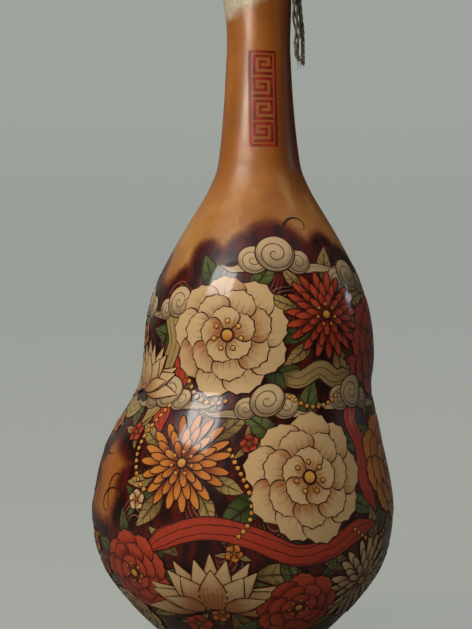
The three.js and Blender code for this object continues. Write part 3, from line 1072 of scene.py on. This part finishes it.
# %% Clouds
CLOUD_LIFT = 0.16 * MM
CLOUDS = [
    (9, 120, 23), (-46, 106, 19), (58, 114, 20), (100, 116, 22), (150, 117, 23), (-166, 115, 21),
    (-122, 117, 22), (-80, 106, 17), (-44, 79, 19), (6, 77, 20), (52, 79, 20), (100, 75, 22),
    (148, 79, 20), (-168, 77, 21), (-126, 78, 20),
]
WISP_LINE = [(0, -0.13), (0.3, -0.18), (0.55, -0.15), (0.8, -0.17), (1, -0.08)]
WISP_WIDTH = 0.15
WISP_ENDS = 0.45
WISP_TONE = 0.5
LONG_WISP = 1.0
SHORT_WISP = 0.75
LOBES = [(-0.29, -0.04, 0.21, 0), (0.3, -0.07, 0.18, 0), (0, 0.05, 0.27, LAYER)]


def cloud(centre, size, flip):
    """Two wisps behind three curled lobes, whose middle, radius and lift are in the list."""
    for side, reach in ((flip, LONG_WISP), (-flip, SHORT_WISP)):
        path = []
        for share, rise in WISP_LINE:
            way = centre[1] + rise * size
            path.append((centre[0] + side * share * reach * size / radius_at(way), way))
        angle, way, along = run_along(WISP, path, WISP_WIDTH * size, WISP_ENDS)
        films["cloud"].add(WISP, on_rind(angle, way, CLOUD_LIFT - LAYER), np.full(len(along), WISP_TONE))
    for x, y, radius, lift in LOBES:
        flat = disc(LOBE, radius * size) + np.array([flip * x, y]) * size
        films["cloud"].add(LOBE, lay(flat, centre, 0, CLOUD_LIFT + lift))


for i, (angle, height, size) in enumerate(CLOUDS):
    cloud(spot(angle, height), size * MM, 1 - 2 * (i % 2))
print("clouds:", len(CLOUDS))

# %% [markdown]
# Silk ribbons and pale sashes wind between the flowers. Each is a band through a few spots, in degrees
# from the front and millimetres of height, and lies under the clouds and flowers.

# %% Ribbons
RIBBON_LIFT = 0.1 * MM
RIBBON_ENDS = 0.12
RIBBONS = [
    ("silk", 6.5, [(-41, 112), (-38, 104), (-43, 95), (-39, 86), (-44, 77), (-38, 68)]),
    ("sash", 6, [(-47, 113), (-50, 104), (-46, 95), (-51, 86), (-48, 78), (-52, 70)]),
    ("sash", 6, [(-110, 84), (-96, 77), (-82, 78), (-68, 74), (-58, 77)]),
    ("silk", 7, [(-40, 33), (-28, 39), (-12, 42), (4, 39), (18, 34), (32, 35), (46, 40), (58, 41)]),
    ("silk", 6, [(44, 90), (53, 88), (54, 80), (49, 72), (54, 64), (52, 54), (58, 44)]),
    ("sash", 6, [(11, 86), (20, 84), (30, 87), (40, 84), (50, 86)]),
    ("sash", 6, [(96, 72), (103, 62), (99, 48), (105, 38), (116, 32)]),
    ("silk", 6.5, [(140, 76), (149, 67), (147, 52), (152, 40), (166, 36), (184, 34)]),
    ("sash", 6, [(-176, 86), (-168, 76), (-172, 64), (-166, 50), (-172, 36)]),
    ("silk", 6.5, [(-136, 76), (-128, 68), (-130, 56), (-124, 44), (-112, 38), (-98, 36)]),
]
for i, (stain, width, points) in enumerate(RIBBONS):
    path = [spot(*point) for point in points]
    band(stain, RIBBON, path, width * MM, RIBBON_ENDS, RIBBON_LIFT + i % 2 * LAYER)
print("ribbons:", len(RIBBONS))

# %% [markdown]
# Round the foot runs a border of waves, as round many painted vessels. Each wave could be a bent band,
# but overlapping discs in two rows do as well: the finish draws rings on them, like rings in water.

# %% Waves
WAVE_ROWS = [6.2, 3.6]
WAVES_AROUND = 30
WAVE_RADIUS = 3.5 * MM
for row, height in enumerate(WAVE_ROWS):
    for i in range(WAVES_AROUND):
        centre = spot(360 * (i + row / 2) / WAVES_AROUND, height)
        level = LEAF_LIFT + (2 * row + i % 2) * LAYER
        films["wave"].add(DISC, lay(disc(DISC, WAVE_RADIUS), centre, 0, level))
print("waves:", len(films["wave"].places))

# %% [markdown]
# What is still bare between the larger figures gets small blossoms. To place them by hand would be slow,
# so seeded draws look for places that are near the design but free, and a KD-tree of its films' vertices
# tells how far each place is from it. A patch at the left of the belly stays clear, as on the real gourd.

# %% Small blossoms in the gaps
CLEAR_SKIN = (-66, 52, 24, 19)
DESIGN_TOP = 110
TOP_WAVES = [(6, 1, 0.3), (5, 3, 0.6)]
LOWEST_FILLER = 12
UNPAINTED = ("bead", "burn", "chalk", "fret")
TRIES = 5000
APART = 8 * MM
LEAST_ROOM = 2.2 * MM
MOST_ROOM = 7 * MM
BLOSSOM_STAINS = ["cream", "coral", "amber", "amber"]
BLOSSOM_SHARE = 2.6
LARGEST_BLOSSOM = 10 * MM
BLOSSOM_LEAVES = 3
BLOSSOM_ROOT = 0.3
BLOSSOM_LEAF = 5.5 * MM


def on_clear_skin(angle, height):
    """True on the oval that stays clear, given by its middle and its half sizes."""
    middle_angle, middle_height, half_angle, half_height = CLEAR_SKIN
    return ((angle - middle_angle) / half_angle) ** 2 + ((height - middle_height) / half_height) ** 2 < 1


def design_top(angle):
    """The height in millimetres that the wavy top of the design has at an angle in degrees."""
    turn = math.radians(angle)
    return DESIGN_TOP + sum(rise * math.cos(count * turn - start) for rise, count, start in TOP_WAVES)


def tree_of_design():
    """A tree of all places of the painted films so far, without beads, strokes and the fret."""
    painted = [stain for stain in STAINS if stain not in UNPAINTED]
    points = np.concatenate([places for stain in painted for places in films[stain].places])
    tree = kdtree.KDTree(len(points))
    for i, point in enumerate(points):
        tree.insert(point, i)
    tree.balance()
    return tree


drawn = tree_of_design()
fillers = []
for _ in range(TRIES):
    angle = rng.uniform(-180, 180)
    height = rng.uniform(LOWEST_FILLER, design_top(angle))
    centre = spot(angle, height)
    where = Vector(on_rind(*centre, 0))
    room = drawn.find(where)[2]
    if on_clear_skin(angle, height) or not LEAST_ROOM < room < MOST_ROOM:
        continue
    if all((where - other).length > APART for other in fillers):
        fillers.append(where)
        stain = rng.choice(BLOSSOM_STAINS)
        bloom("plum", stain, centre, min(BLOSSOM_SHARE * room, LARGEST_BLOSSOM), FLOWER_LIFT)
        leaves(rng.choice(LEAF_STAINS), centre, BLOSSOM_ROOT * room, BLOSSOM_LEAVES, BLOSSOM_LEAF)
print("small blossoms:", len(fillers))

# %% [markdown]
# On the dark ground between the figures are pale curls, a few lines side by side, like water that
# streams. Each is a path that turns more and more as it goes, which is a spiral without any formula for
# one.

# %% Streams
CURL_POINTS = 15
CURL_PACE = 0.16
CURL_SLOWS = 0.045
CURL_TURN = 0.12
CURL_TIGHTENS = 0.045
STROKE_LIFT = 0.005 * MM
STROKE_ENDS = 0.5
STREAM_COUNT = 60
STREAM_DROP = 4
STREAM_SIZES = (10, 18)
STREAM_LINES = 4
STREAM_GAP = 1.1 * MM
STREAM_WIDTH = 0.34 * MM
STREAM_SHORTENS = 0.17


def curl(centre, heading, size, side):
    """A path that sets off in degrees to the left of up, and rolls itself up to one side."""
    turn = math.radians(heading)
    angle, way = centre
    path = []
    for i in range(CURL_POINTS):
        path.append((angle, way))
        pace = size * CURL_PACE * (1 - CURL_SLOWS * i)
        way += pace * math.cos(turn)
        angle -= pace * math.sin(turn) / radius_at(way)
        turn += side * (CURL_TURN + CURL_TIGHTENS * i)
    return path


for _ in range(STREAM_COUNT):
    angle = rng.uniform(-180, 180)
    centre = spot(angle, rng.uniform(LOWEST_FILLER, design_top(angle) - STREAM_DROP))
    heading = rng.uniform(-180, 180)
    side = rng.choice([-1, 1])
    size = rng.uniform(*STREAM_SIZES) * MM
    across = math.radians(heading) + side * math.pi / 2
    for k in range(STREAM_LINES):
        way = centre[1] + k * STREAM_GAP * math.cos(across)
        start = (centre[0] - k * STREAM_GAP * math.sin(across) / radius_at(way), way)
        path = curl(start, heading, size * (1 - STREAM_SHORTENS * k), side)
        band("chalk", STROKE, path, STREAM_WIDTH, STROKE_ENDS, STROKE_LIFT)
print("streams:", STREAM_COUNT)

# %% [markdown]
# Strings of gold beads hang between the figures. An Array modifier on a curve could repeat a bead, but
# the beads lie on a curved skin, so a loop sets one down at every two millimetres of its line.

# %% Bead garlands
GARLANDS = [
    [(-36, 85), (-28, 79), (-18, 77), (-8, 79)], [(16, 79), (26, 76), (36, 77), (46, 82)],
    [(-40, 76), (-46, 66), (-44, 56), (-36, 50)], [(-6, 64), (2, 52), (2, 44), (-4, 38)],
    [(44, 40), (54, 36), (64, 38), (70, 44)], [(54, 108), (60, 102), (60, 94), (56, 88)],
    [(92, 84), (100, 88), (108, 86)], [(146, 84), (156, 80), (164, 82)],
    [(-126, 80), (-116, 84), (-108, 80)], [(-170, 44), (-176, 52), (-182, 46)],
    [(-82, 82), (-90, 88), (-92, 96)],
]
GARLAND_STEPS = 40
BEAD_RADIUS = 0.85 * MM
BEAD_PITCH = 1.95 * MM
for points in GARLANDS:
    line = np.array(smooth_line([(*spot(*point), 0) for point in points], GARLAND_STEPS))[:, :2]
    angles, ways = line.T
    gone = run_of(np.diff(on_rind(angles, ways, 0), axis=0))
    for k in range(int(gone[-1] / BEAD_PITCH)):
        centre = (np.interp(k * BEAD_PITCH, gone, angles), np.interp(k * BEAD_PITCH, gone, ways))
        films["bead"].add(BEAD, lay(disc(BEAD, BEAD_RADIUS), centre, 0, CLOUD_LIFT + 2 * LAYER))
print("garlands:", len(GARLANDS))

# %% [markdown]
# With the same hot tip that draws the lines, tendrils are burned into the tan skin above the design and
# on its clear patch. They are the curls of the streams again, wider and dark.

# %% Burned tendrils
TENDRILS = 26
TENDRIL_SHIFT = 0.3
TENDRIL_DROPS = (-2, 5)
TENDRIL_HEADINGS = (-50, 50)
TENDRIL_SIZES = (8, 14)
TENDRIL_WIDTH = 0.9 * MM
SWIRLS = [(-50, 50, 70), (-58, 44, 30), (-74, 44, -30), (-60, 62, 110), (-80, 56, -70), (-70, 66, 160)]
SWIRL_WIDTH = 0.8 * MM
SWIRL_SIZE = 13 * MM
for i in range(TENDRILS):
    angle = 360 * (i + rng.uniform(-TENDRIL_SHIFT, TENDRIL_SHIFT)) / TENDRILS
    centre = spot(angle, design_top(angle) - rng.uniform(*TENDRIL_DROPS))
    heading = rng.uniform(*TENDRIL_HEADINGS)
    path = curl(centre, heading, rng.uniform(*TENDRIL_SIZES) * MM, 1 - 2 * (i % 2))
    band("burn", STROKE, path, TENDRIL_WIDTH, STROKE_ENDS, STROKE_LIFT)
for i, (angle, height, heading) in enumerate(SWIRLS):
    path = curl(spot(angle, height), heading, SWIRL_SIZE, 1 - 2 * (i % 2))
    band("burn", STROKE, path, SWIRL_WIDTH, STROKE_ENDS, STROKE_LIFT)
print("tendrils:", TENDRILS + len(SWIRLS))

# %% [markdown]
# On the neck is a red panel of square spirals, a fret that is drawn the world over. It could be one bent
# band, but a band would round its corners. It is made of straight bars that overlap at the corners.

# %% Red fret on the neck
FRET_CENTRE = spot(6, 169.5)
FRET_LINE = 0.88 * MM
CELL = 1.35 * MM
SPIRAL = [(0, 0), (4, 0), (4, 4), (0, 4), (0, 1.35), (2.65, 1.35), (2.65, 2.7), (1.35, 2.7)]
SPIRAL_SIZE = 4
SPIRALS = 4
SPIRAL_PITCH = 5.2
FRAME_GAP = 1
FRAME_RIGHT = SPIRAL_SIZE + FRAME_GAP
FRAME_TOP = SPIRAL_PITCH * (SPIRALS - 1) + SPIRAL_SIZE + FRAME_GAP
FRAME_LINE = [
    (-FRAME_GAP, -FRAME_GAP), (FRAME_RIGHT, -FRAME_GAP), (FRAME_RIGHT, FRAME_TOP), (-FRAME_GAP, FRAME_TOP),
    (-FRAME_GAP, -FRAME_GAP),
]
FRET_MIDDLE = np.array([FRAME_RIGHT - FRAME_GAP, FRAME_TOP - FRAME_GAP]) / 2


def bars(points):
    """Straight red bars from point to point, in cells."""
    places = (np.array(points) - FRET_MIDDLE) * CELL
    for start, end in zip(places, places[1:]):
        run = end - start
        length = np.hypot(*run) + FRET_LINE
        flat = np.stack([BAR.across * FRET_LINE / 2, (BAR.along - 0.5) * length], axis=-1)
        flat = turn_flat(flat, -math.atan2(*run)) + (start + end) / 2
        films["fret"].add(BAR, lay(flat, FRET_CENTRE, 0, LEAF_LIFT))


bars(FRAME_LINE)
for k in range(SPIRALS):
    bars([(x if k % 2 == 0 else SPIRAL_SIZE - x, SPIRAL_PITCH * k + y) for x, y in SPIRAL])
print("bars:", len(films["fret"].places))

# %% [markdown]
# The skin is scorched dark behind the design, and the scorch fades into the tan within a few millimetres.
# It could be painted on by hand. Instead each vertex of the rind stores how near it is to the nearest
# film, and the finish turns that into colour.

# %% Scorch
DARK_REACH = 2.2 * MM
TAN_REACH = 7.5 * MM
design = tree_of_design()
nearness = []
for vertex in rind.data.vertices:
    reach = design.find(vertex.co)[2]
    nearness.append(held((TAN_REACH - reach) / (TAN_REACH - DARK_REACH)))
rind.data.attributes.new("scorch", "FLOAT", "POINT").data.foreach_set("value", nearness)
print("share of the skin that is scorched:", round(np.mean(np.array(nearness) > 0.5), 2))

# %% [markdown]
# Under the lacquer the dried skin is tan, cloudy and streaked along its length, and pale and bare at the
# crown. The neck's right side is painted a darker red, as painted shade where it turns from the light.
# Each of these is one layer of colour mixed over the last, as a painter would glaze them. The scorch
# comes on top. The belly has a clear coat, and the neck only the sheen of rubbed skin.

# %% Lacquered skin
TAN = srgb(186, 128, 66)
TAN_LIGHT = srgb(202, 150, 90)
TAN_DARK = srgb(150, 88, 36)
NECK_TAN = srgb(172, 100, 38)
NECK_SHADE_RED = srgb(124, 52, 18)
PALE = srgb(208, 194, 168)
PALE_DEEP = srgb(192, 170, 138)
HALO = srgb(104, 44, 16)
GROUND = srgb(30, 8, 5)
MAROON = srgb(84, 18, 11)
NECK_BAND = (128 * MM, 158 * MM)
BELLY_BAND = (80 * MM, 60 * MM)
SHADED_SIDE_BAND = (6 * MM, 16 * MM)
BARE_BAND = (195.2 * MM, 200 * MM)
BARE_SLOPE = 0.55
LACQUER_BAND = (142 * MM, 118 * MM)
BLOTCH = 22 * MM
BLOTCH_SHIFT = 30 * MM
STREAK = 6 * MM
SPECK = 0.9 * MM
BARE_FRINGE = 4 * MM
SCORCH_BLOTCH = 5 * MM
GROUND_BLOTCH = 4 * MM
LACQUER = {"Coat Weight": 0.6, "Coat Roughness": 0.1, "Coat IOR": 1.5, "Specular IOR Level": 0.2}
RELIEF = 0.12 * MM
RELIEF_SIZE = 7 * MM


def mark(shade, name):
    """A value stored on the mesh."""
    return shade.node("Attribute", {"attribute_name": name}, {}, 2)


def rind_finish():
    made, shade, surface = new_finish("lacquered_rind")
    height = along_axis(shade, "Z")
    right = along_axis(shade, "X")
    cloudy = noise(shade, BLOTCH, 4)
    streaks = noise(shade, STREAK, 4, (1, 1, 0.18))
    specks = noise(shade, SPECK, 2)
    on_neck = (height + (cloudy - 0.5) * BLOTCH_SHIFT).step(*NECK_BAND)
    ruddy = on_neck + height.step(*BELLY_BAND)
    skin = cloudy.step(0.32, 0.68).mix(TAN_DARK, ruddy.mix(TAN, NECK_TAN))
    # Painted shade: the neck's right side is mixed towards a darker red.
    skin = (right.step(*SHADED_SIDE_BAND) * on_neck * 0.7).mix(skin, NECK_SHADE_RED)
    skin = (streaks.step(0.45, 0.75) * (0.6 - ruddy * 0.4)).mix(skin, TAN_LIGHT)
    skin = (specks.step(0.7, 0.78) * 0.5).mix(skin, TAN_DARK)
    edge = height - right * BARE_SLOPE + (noise(shade, BARE_FRINGE, 4) - 0.5) * BARE_FRINGE
    bare = edge.step(*BARE_BAND)
    skin = bare.mix(skin, specks.step(0.3, 0.7).mix(PALE, PALE_DEEP))
    burned = mark(shade, "scorch") + (noise(shade, SCORCH_BLOTCH, 5) - 0.5) * 0.5 + (specks - 0.5) * 0.35
    skin = burned.step(0.0, 0.6).mix(skin, HALO)
    ground = noise(shade, GROUND_BLOTCH, 3, (1, 1, 0.35)).step(0.38, 0.62).mix(GROUND, MAROON)
    shade.feed(surface, {
        **LACQUER,
        "Base Color": burned.step(0.45, 0.85).mix(skin, ground),
        "Roughness": 0.31 + specks * 0.08 + bare * 0.25,
        "Normal": bump(shade, noise(shade, RELIEF_SIZE, 2) + specks * 0.05, RELIEF),
        "Specular IOR Level": 0.42,
        "Coat Weight": height.step(*LACQUER_BAND) * 0.6,
    })
    return made


rind.data.materials.append(rind_finish())
print("finish on", rind.name)

# %% [markdown]
# Inside its outline each figure has finer burned lines: veins on petals and leaves, spirals on clouds,
# rings on waves, stripes on ribbons. As geometry they would be thousands more films. They are formulas of
# the two marks that every film carries, across and along, so that they follow its shape.

# %% Burned patterns
RIBBON_WAVER = 5 * MM


def petal_lines(shade):
    fan = (mark(shade, "across") * 3.5).fold()
    return fan.step(0.1, 0.02) * mark(shade, "along").step(0.72, 0.3)


def leaf_lines(shade):
    across = abs(mark(shade, "across"))
    veins = (mark(shade, "along") * 6 - across * 1.1).fold().step(0.09, 0.02)
    return veins.math("MAXIMUM", veins, across.step(0.11, 0.05))


def from_middle(shade):
    """The two marks of a disc, and the distance, from its middle."""
    x = mark(shade, "across")
    y = mark(shade, "along") * 2 - 1
    return x, y, x.math("SQRT", x * x + y * y)


def spiral_lines(shade):
    x, y, reach = from_middle(shade)
    turn = x.math("ARCTAN2", y, x) / (2 * math.pi)
    return (reach * 2.3 - turn).fold().step(0.11, 0.04)


def ring_lines(shade):
    return (from_middle(shade)[2] * 3.2).fold().step(0.13, 0.05)


def ribbon_lines(shade):
    waver = (noise(shade, RIBBON_WAVER, 2) - 0.5) * 0.5
    return (mark(shade, "across") * 1.9 + waver + mark(shade, "along") * 0.12).fold().step(0.1, 0.03)


patterns = (petal_lines, leaf_lines, spiral_lines, ring_lines, ribbon_lines)
print("patterns:", [lines.__name__ for lines in patterns])

# %% [markdown]
# A stain is a pair of colours, the deeper one towards a figure's root and edges, where a brush leaves
# more. Grain and the film's own tint keep neighbours apart. Its burned line is the same char on all of
# them. Both lie under the same lacquer as the skin, so they share its coat, and the stain also shares
# its slow relief.

# %% Stains
STAIN_GRAIN = 1.6 * MM
LINE_WEAR = 0.7 * MM
CHAR_GRAIN = 0.8 * MM
BURN = srgb(44, 20, 11)
CHAR = srgb(36, 16, 9)
CHAR_LIGHT = srgb(84, 40, 20)
STAIN_LOOKS = {
    "cream": (srgb(208, 172, 122), srgb(168, 106, 60), petal_lines),
    "coral": (srgb(182, 68, 42), srgb(108, 24, 18), petal_lines),
    "amber": (srgb(204, 124, 48), srgb(140, 60, 20), petal_lines),
    "green": (srgb(94, 102, 54), srgb(40, 54, 28), leaf_lines),
    "khaki": (srgb(168, 138, 80), srgb(108, 84, 42), leaf_lines),
    "cloud": (srgb(202, 172, 128), srgb(140, 116, 84), spiral_lines),
    "silk": (srgb(178, 62, 40), srgb(98, 22, 17), ribbon_lines),
    "sash": (srgb(168, 138, 84), srgb(108, 92, 56), ribbon_lines),
    "bead": (srgb(216, 160, 70), srgb(190, 110, 44), None),
    "wave": (srgb(170, 150, 108), srgb(96, 104, 84), ring_lines),
    "burn": (srgb(60, 28, 14), srgb(40, 18, 10), None),
    "chalk": (srgb(150, 98, 78), srgb(108, 50, 38), None),
    "fret": (srgb(162, 36, 24), srgb(112, 20, 14), None),
}


def stain_finish(name, light, deep, lines):
    made, shade, surface = new_finish("stain_" + name)
    grain = noise(shade, STAIN_GRAIN, 4)
    shadow = mark(shade, "along").step(0.85, 0.0) + abs(mark(shade, "across")).step(0.4, 1.0) * 0.45
    shadow = shadow + (mark(shade, "tint") - 0.5) * 0.5
    colour = (shadow + (grain - 0.5) * 0.5).step(0, 1).mix(light, deep)
    if lines:
        wear = noise(shade, LINE_WEAR, 2).step(0.2, 0.45)
        colour = (lines(shade) * wear * 0.85).mix(colour, BURN)
    shade.feed(surface, {
        **LACQUER,
        "Base Color": colour,
        "Roughness": 0.4 + grain * 0.2,
        "Normal": bump(shade, noise(shade, RELIEF_SIZE, 2) + grain * 0.04, RELIEF),
    })
    return made


def char_finish():
    made, shade, surface = new_finish("burned_line")
    char = noise(shade, CHAR_GRAIN, 3)
    shade.feed(surface, {
        **LACQUER,
        "Base Color": char.step(0.35, 0.75).mix(CHAR, CHAR_LIGHT),
        "Roughness": 0.45 + char * 0.2,
    })
    return made


burned_line = char_finish()
print("looks:", len(STAIN_LOOKS))

# %% [markdown]
# Now the gathered films become objects. Their flat faces could float above the skin, but then light would
# show under their edges, so a Solidify modifier thickens them inwards, down into the rind.

# %% Make the films
FILM_THICKNESS = 0.5 * MM
UNLINED = ("burn", "chalk", "fret")
for stain, family in films.items():
    piece = new_piece(family.name, family.bm)
    piece.data.vertices.foreach_set("co", np.concatenate(family.places).ravel())
    for name, values in family.marks.items():
        layer = piece.data.attributes.new(name, "FLOAT", "POINT")
        layer.data.foreach_set("value", np.concatenate(values).astype(np.float32))
    finish = stain_finish(stain, *STAIN_LOOKS[stain])
    piece.data.materials.append(finish)
    piece.data.materials.append(finish if stain in UNLINED else burned_line)
    solid = piece.modifiers.new("thickness", "SOLIDIFY")
    solid.thickness = FILM_THICKNESS
    solid.offset = -1
    print(piece.name, len(family.places), "films,", len(piece.data.polygons), "faces")

# %% [markdown]
# The stalk is bare wood: fibres drawn out along it, and dark blotches where it has weathered. Inside the
# rind hang the dry pith and lie the seeds. Nobody sees them in the whole gourd, so they keep the form of
# the packed model and get a dry, grainy finish each.

# %% Stalk, pith and seeds
WOOD_DARK = srgb(92, 66, 40)
WOOD_LIGHT = srgb(158, 124, 82)
WEATHERED = srgb(70, 50, 34)
WOOD_FIBRE = 0.5 * MM
WOOD_BLOTCH = 5 * MM
WOOD_DEPTH = 0.25 * MM
PITH_GRAIN = 1.2 * MM
SEED_GRAIN = 2 * MM
DRY_DEPTH = 0.2 * MM


def stalk_finish():
    made, shade, surface = new_finish("dry_stalk")
    fibre_grain = noise(shade, WOOD_FIBRE, 4, (1, 1, 0.06))
    blotch = noise(shade, WOOD_BLOTCH, 4)
    wood = fibre_grain.step(0.3, 0.7).mix(WOOD_DARK, WOOD_LIGHT)
    shade.feed(surface, {
        "Base Color": (blotch.step(0.55, 0.7) * 0.6).mix(wood, WEATHERED),
        "Roughness": 0.68 + fibre_grain * 0.2,
        "Normal": bump(shade, fibre_grain, WOOD_DEPTH),
    })
    return made


def dry_finish(name, light, deep, size):
    made, shade, surface = new_finish(name)
    grain = noise(shade, size, 5)
    shade.feed(surface, {
        "Base Color": grain.step(0.3, 0.7).mix(light, deep),
        "Roughness": 0.7 + grain * 0.25,
        "Normal": bump(shade, grain, DRY_DEPTH),
    })
    return made


stalk.data.materials.append(stalk_finish())
dry_pith = dry_finish("dry_pith", srgb(226, 208, 172), srgb(182, 150, 104), PITH_GRAIN)
dry_seed = dry_finish("dry_seed", srgb(206, 178, 130), srgb(140, 104, 66), SEED_GRAIN)
inside = {name: node for name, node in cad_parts.items() if name.startswith(("neck_pith", "seed_"))}
for name, node in inside.items():
    node.data.materials.clear()
    node.data.materials.append(dry_pith if name == "neck_pith" else dry_seed)
print("pieces inside:", len(inside))

# %% [markdown]
# The stage is a pale grey bowl that is the same from every side. A flat floor and a wall would show an
# edge between them in some views, so it is spun from one smooth line, floor, sweep and wall.

# %% Backdrop
FLOOR_DROP = 0.0004
FLOOR_RADIUS = 1.2
SWEEP_RADIUS = 2.0
SWEEP_HEIGHT = 0.25
WALL_RADIUS = 2.4
WALL_FOOT = 1.0
WALL_HEIGHT = 2.6
BOWL_STEPS = 10
BOWL_SIDES = 96

bowl = smooth_line([
    (0, 0, -FLOOR_DROP),
    (FLOOR_RADIUS, 0, -FLOOR_DROP),
    (SWEEP_RADIUS, 0, SWEEP_HEIGHT),
    (WALL_RADIUS, 0, WALL_FOOT),
    (WALL_RADIUS, 0, WALL_HEIGHT),
], BOWL_STEPS)
backdrop = new_object("backdrop", spun([(point.x, point.z) for point in bowl], BOWL_SIDES))
backdrop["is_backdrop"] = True
print("faces of the backdrop:", len(backdrop.data.polygons))

# %% [markdown]
# The camera sees the bowl in a nearly even grey, mostly by its own emission, so that the lamps leave no
# bright patches on it. In the lacquer it looks as a room does: dim, with a brighter wall behind on the
# left. The light path tells the two kinds of ray apart. The paint is nearly black on the wall, and just
# light enough on the floor to catch the gourd's shadow.

# %% Backdrop finish
BACKDROP = srgb(158, 162, 156)
BRIGHT_WALL = srgb(112, 114, 110)
DIM_ROOM = srgb(42, 36, 31)
BLACK = (0, 0, 0, 1)
FLOOR_GLOW = 0.85
FLOOR_PAINT = 0.3
WALL_PAINT = 0.04
WALL_BLOTCH = 0.6
BEHIND_BAND = (1.0, 1.9)
LEFT_BAND = (0.9, -0.3)
FLOOR_EDGE = (0.02, 0.3)


def dimmer(colour, share):
    return [value * share for value in colour[:3]] + [1]


def backdrop_finish():
    made, shade, surface = new_finish("backdrop")
    height = along_axis(shade, "Z")
    uneven = (noise(shade, WALL_BLOTCH) - 0.5) * 0.3
    behind = (along_axis(shade, "Y") + uneven).step(*BEHIND_BAND)
    bright = behind * along_axis(shade, "X").step(*LEFT_BAND) * height.step(*FLOOR_EDGE)
    seen, glossy, clear = (
        shade.node("LightPath", {}, {}, f"Is {kind} Ray") for kind in ("Camera", "Glossy", "Transmission")
    )
    wall = height.step(0.0, 0.5).mix(dimmer(BACKDROP, FLOOR_GLOW), BACKDROP)
    mirrored = (glossy + clear).mix(BLACK, bright.mix(DIM_ROOM, BRIGHT_WALL))
    paint = height.step(0, 0.3).mix(dimmer(BACKDROP, FLOOR_PAINT), dimmer(BACKDROP, WALL_PAINT))
    shade.feed(surface, {
        "Base Color": paint,
        "Roughness": 0.9,
        "Specular IOR Level": 0.1,
        "Emission Color": seen.mix(mirrored, wall),
        "Emission Strength": 1,
    })
    return made


backdrop.data.materials.append(backdrop_finish())
print("finish on", backdrop.name)

# %% [markdown]
# A key light high on the left gives the form its shading and the highlight on the shoulder. A small lamp
# that only gloss sees draws the streak on the neck, a large soft one in front fills the shadows without
# showing in the lacquer, a cool one from the right touches the belly's edge in a narrow beam, and one
# behind lights the other side.

# %% Lamps
MIDDLE = (0, 0, 0.1)
FULL_BEAM = 180
NARROW_BEAM = 16


def lamp(name, where, aim, size, power, colour, beam=FULL_BEAM):
    """A rectangular lamp whose hood lets its light out in a beam of that many degrees."""
    light = bpy.data.lights.new(name, "AREA")
    light.shape = "RECTANGLE"
    light.size, light.size_y = size
    light.energy = power
    light.color = colour
    light.spread = math.radians(beam)
    holder = bpy.data.objects.new(name, light)
    holder.location = where
    holder.rotation_euler = (Vector(aim) - Vector(where)).to_track_quat("-Z", "Y").to_euler()
    holder.visible_camera = False
    bpy.context.collection.objects.link(holder)
    return holder


lamp("key", where=(-0.442, -0.385, 0.576), aim=MIDDLE, size=(0.34, 0.22), power=2.9, colour=(1, 0.97, 0.93))
strip = lamp(
    "strip", where=(-0.173, -0.241, 0.175), aim=(0.005, 0, 0.17), size=(0.03, 0.04), power=0.016,
    colour=(0.82, 1, 0.88), beam=NARROW_BEAM,
)
strip.visible_diffuse = False
fill = lamp("fill", where=(-0.68, -1.9, 0.75), aim=MIDDLE, size=(1, 1), power=19, colour=(1, 0.95, 0.88))
fill.visible_glossy = False
lamp(
    "cool", where=(0.76, 0.25, 0.33), aim=(0.04, 0, 0.04), size=(0.18, 0.18), power=0.006,
    colour=(0.7, 0.85, 1), beam=NARROW_BEAM,
)
lamp("rear", where=(0.2, 1.1, 1.9), aim=MIDDLE, size=(1, 1), power=14, colour=(1, 0.97, 0.92))
print("lamps:", len(bpy.data.lights))

# %% [markdown]
# The open top of the bowl lets in an even, weak light from the world, as from a ceiling. The picture is
# shown in the standard view, which leaves colours as they are written.

# %% World and view
SKY = (0.54, 0.52, 0.5, 1)
SKY_STRENGTH = 0.5
world = bpy.data.worlds.new("room")
world.use_nodes = True
sky = world.node_tree.nodes["Background"]
sky.inputs["Color"].default_value = SKY
sky.inputs["Strength"].default_value = SKY_STRENGTH
bpy.context.scene.world = world
bpy.context.scene.view_settings.view_transform = "Standard"
print("view:", bpy.context.scene.view_settings.view_transform)

# %% [markdown]
# Last, the boxes of the packed model and of the finished one are written down, to compare their sizes.

# %% Sizes and finish
boxes = {"cad": CAD_BOX, "visual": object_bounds()}
boxes = {name: [[float(value) for value in corner] for corner in box] for name, box in boxes.items()}
print(boxes)
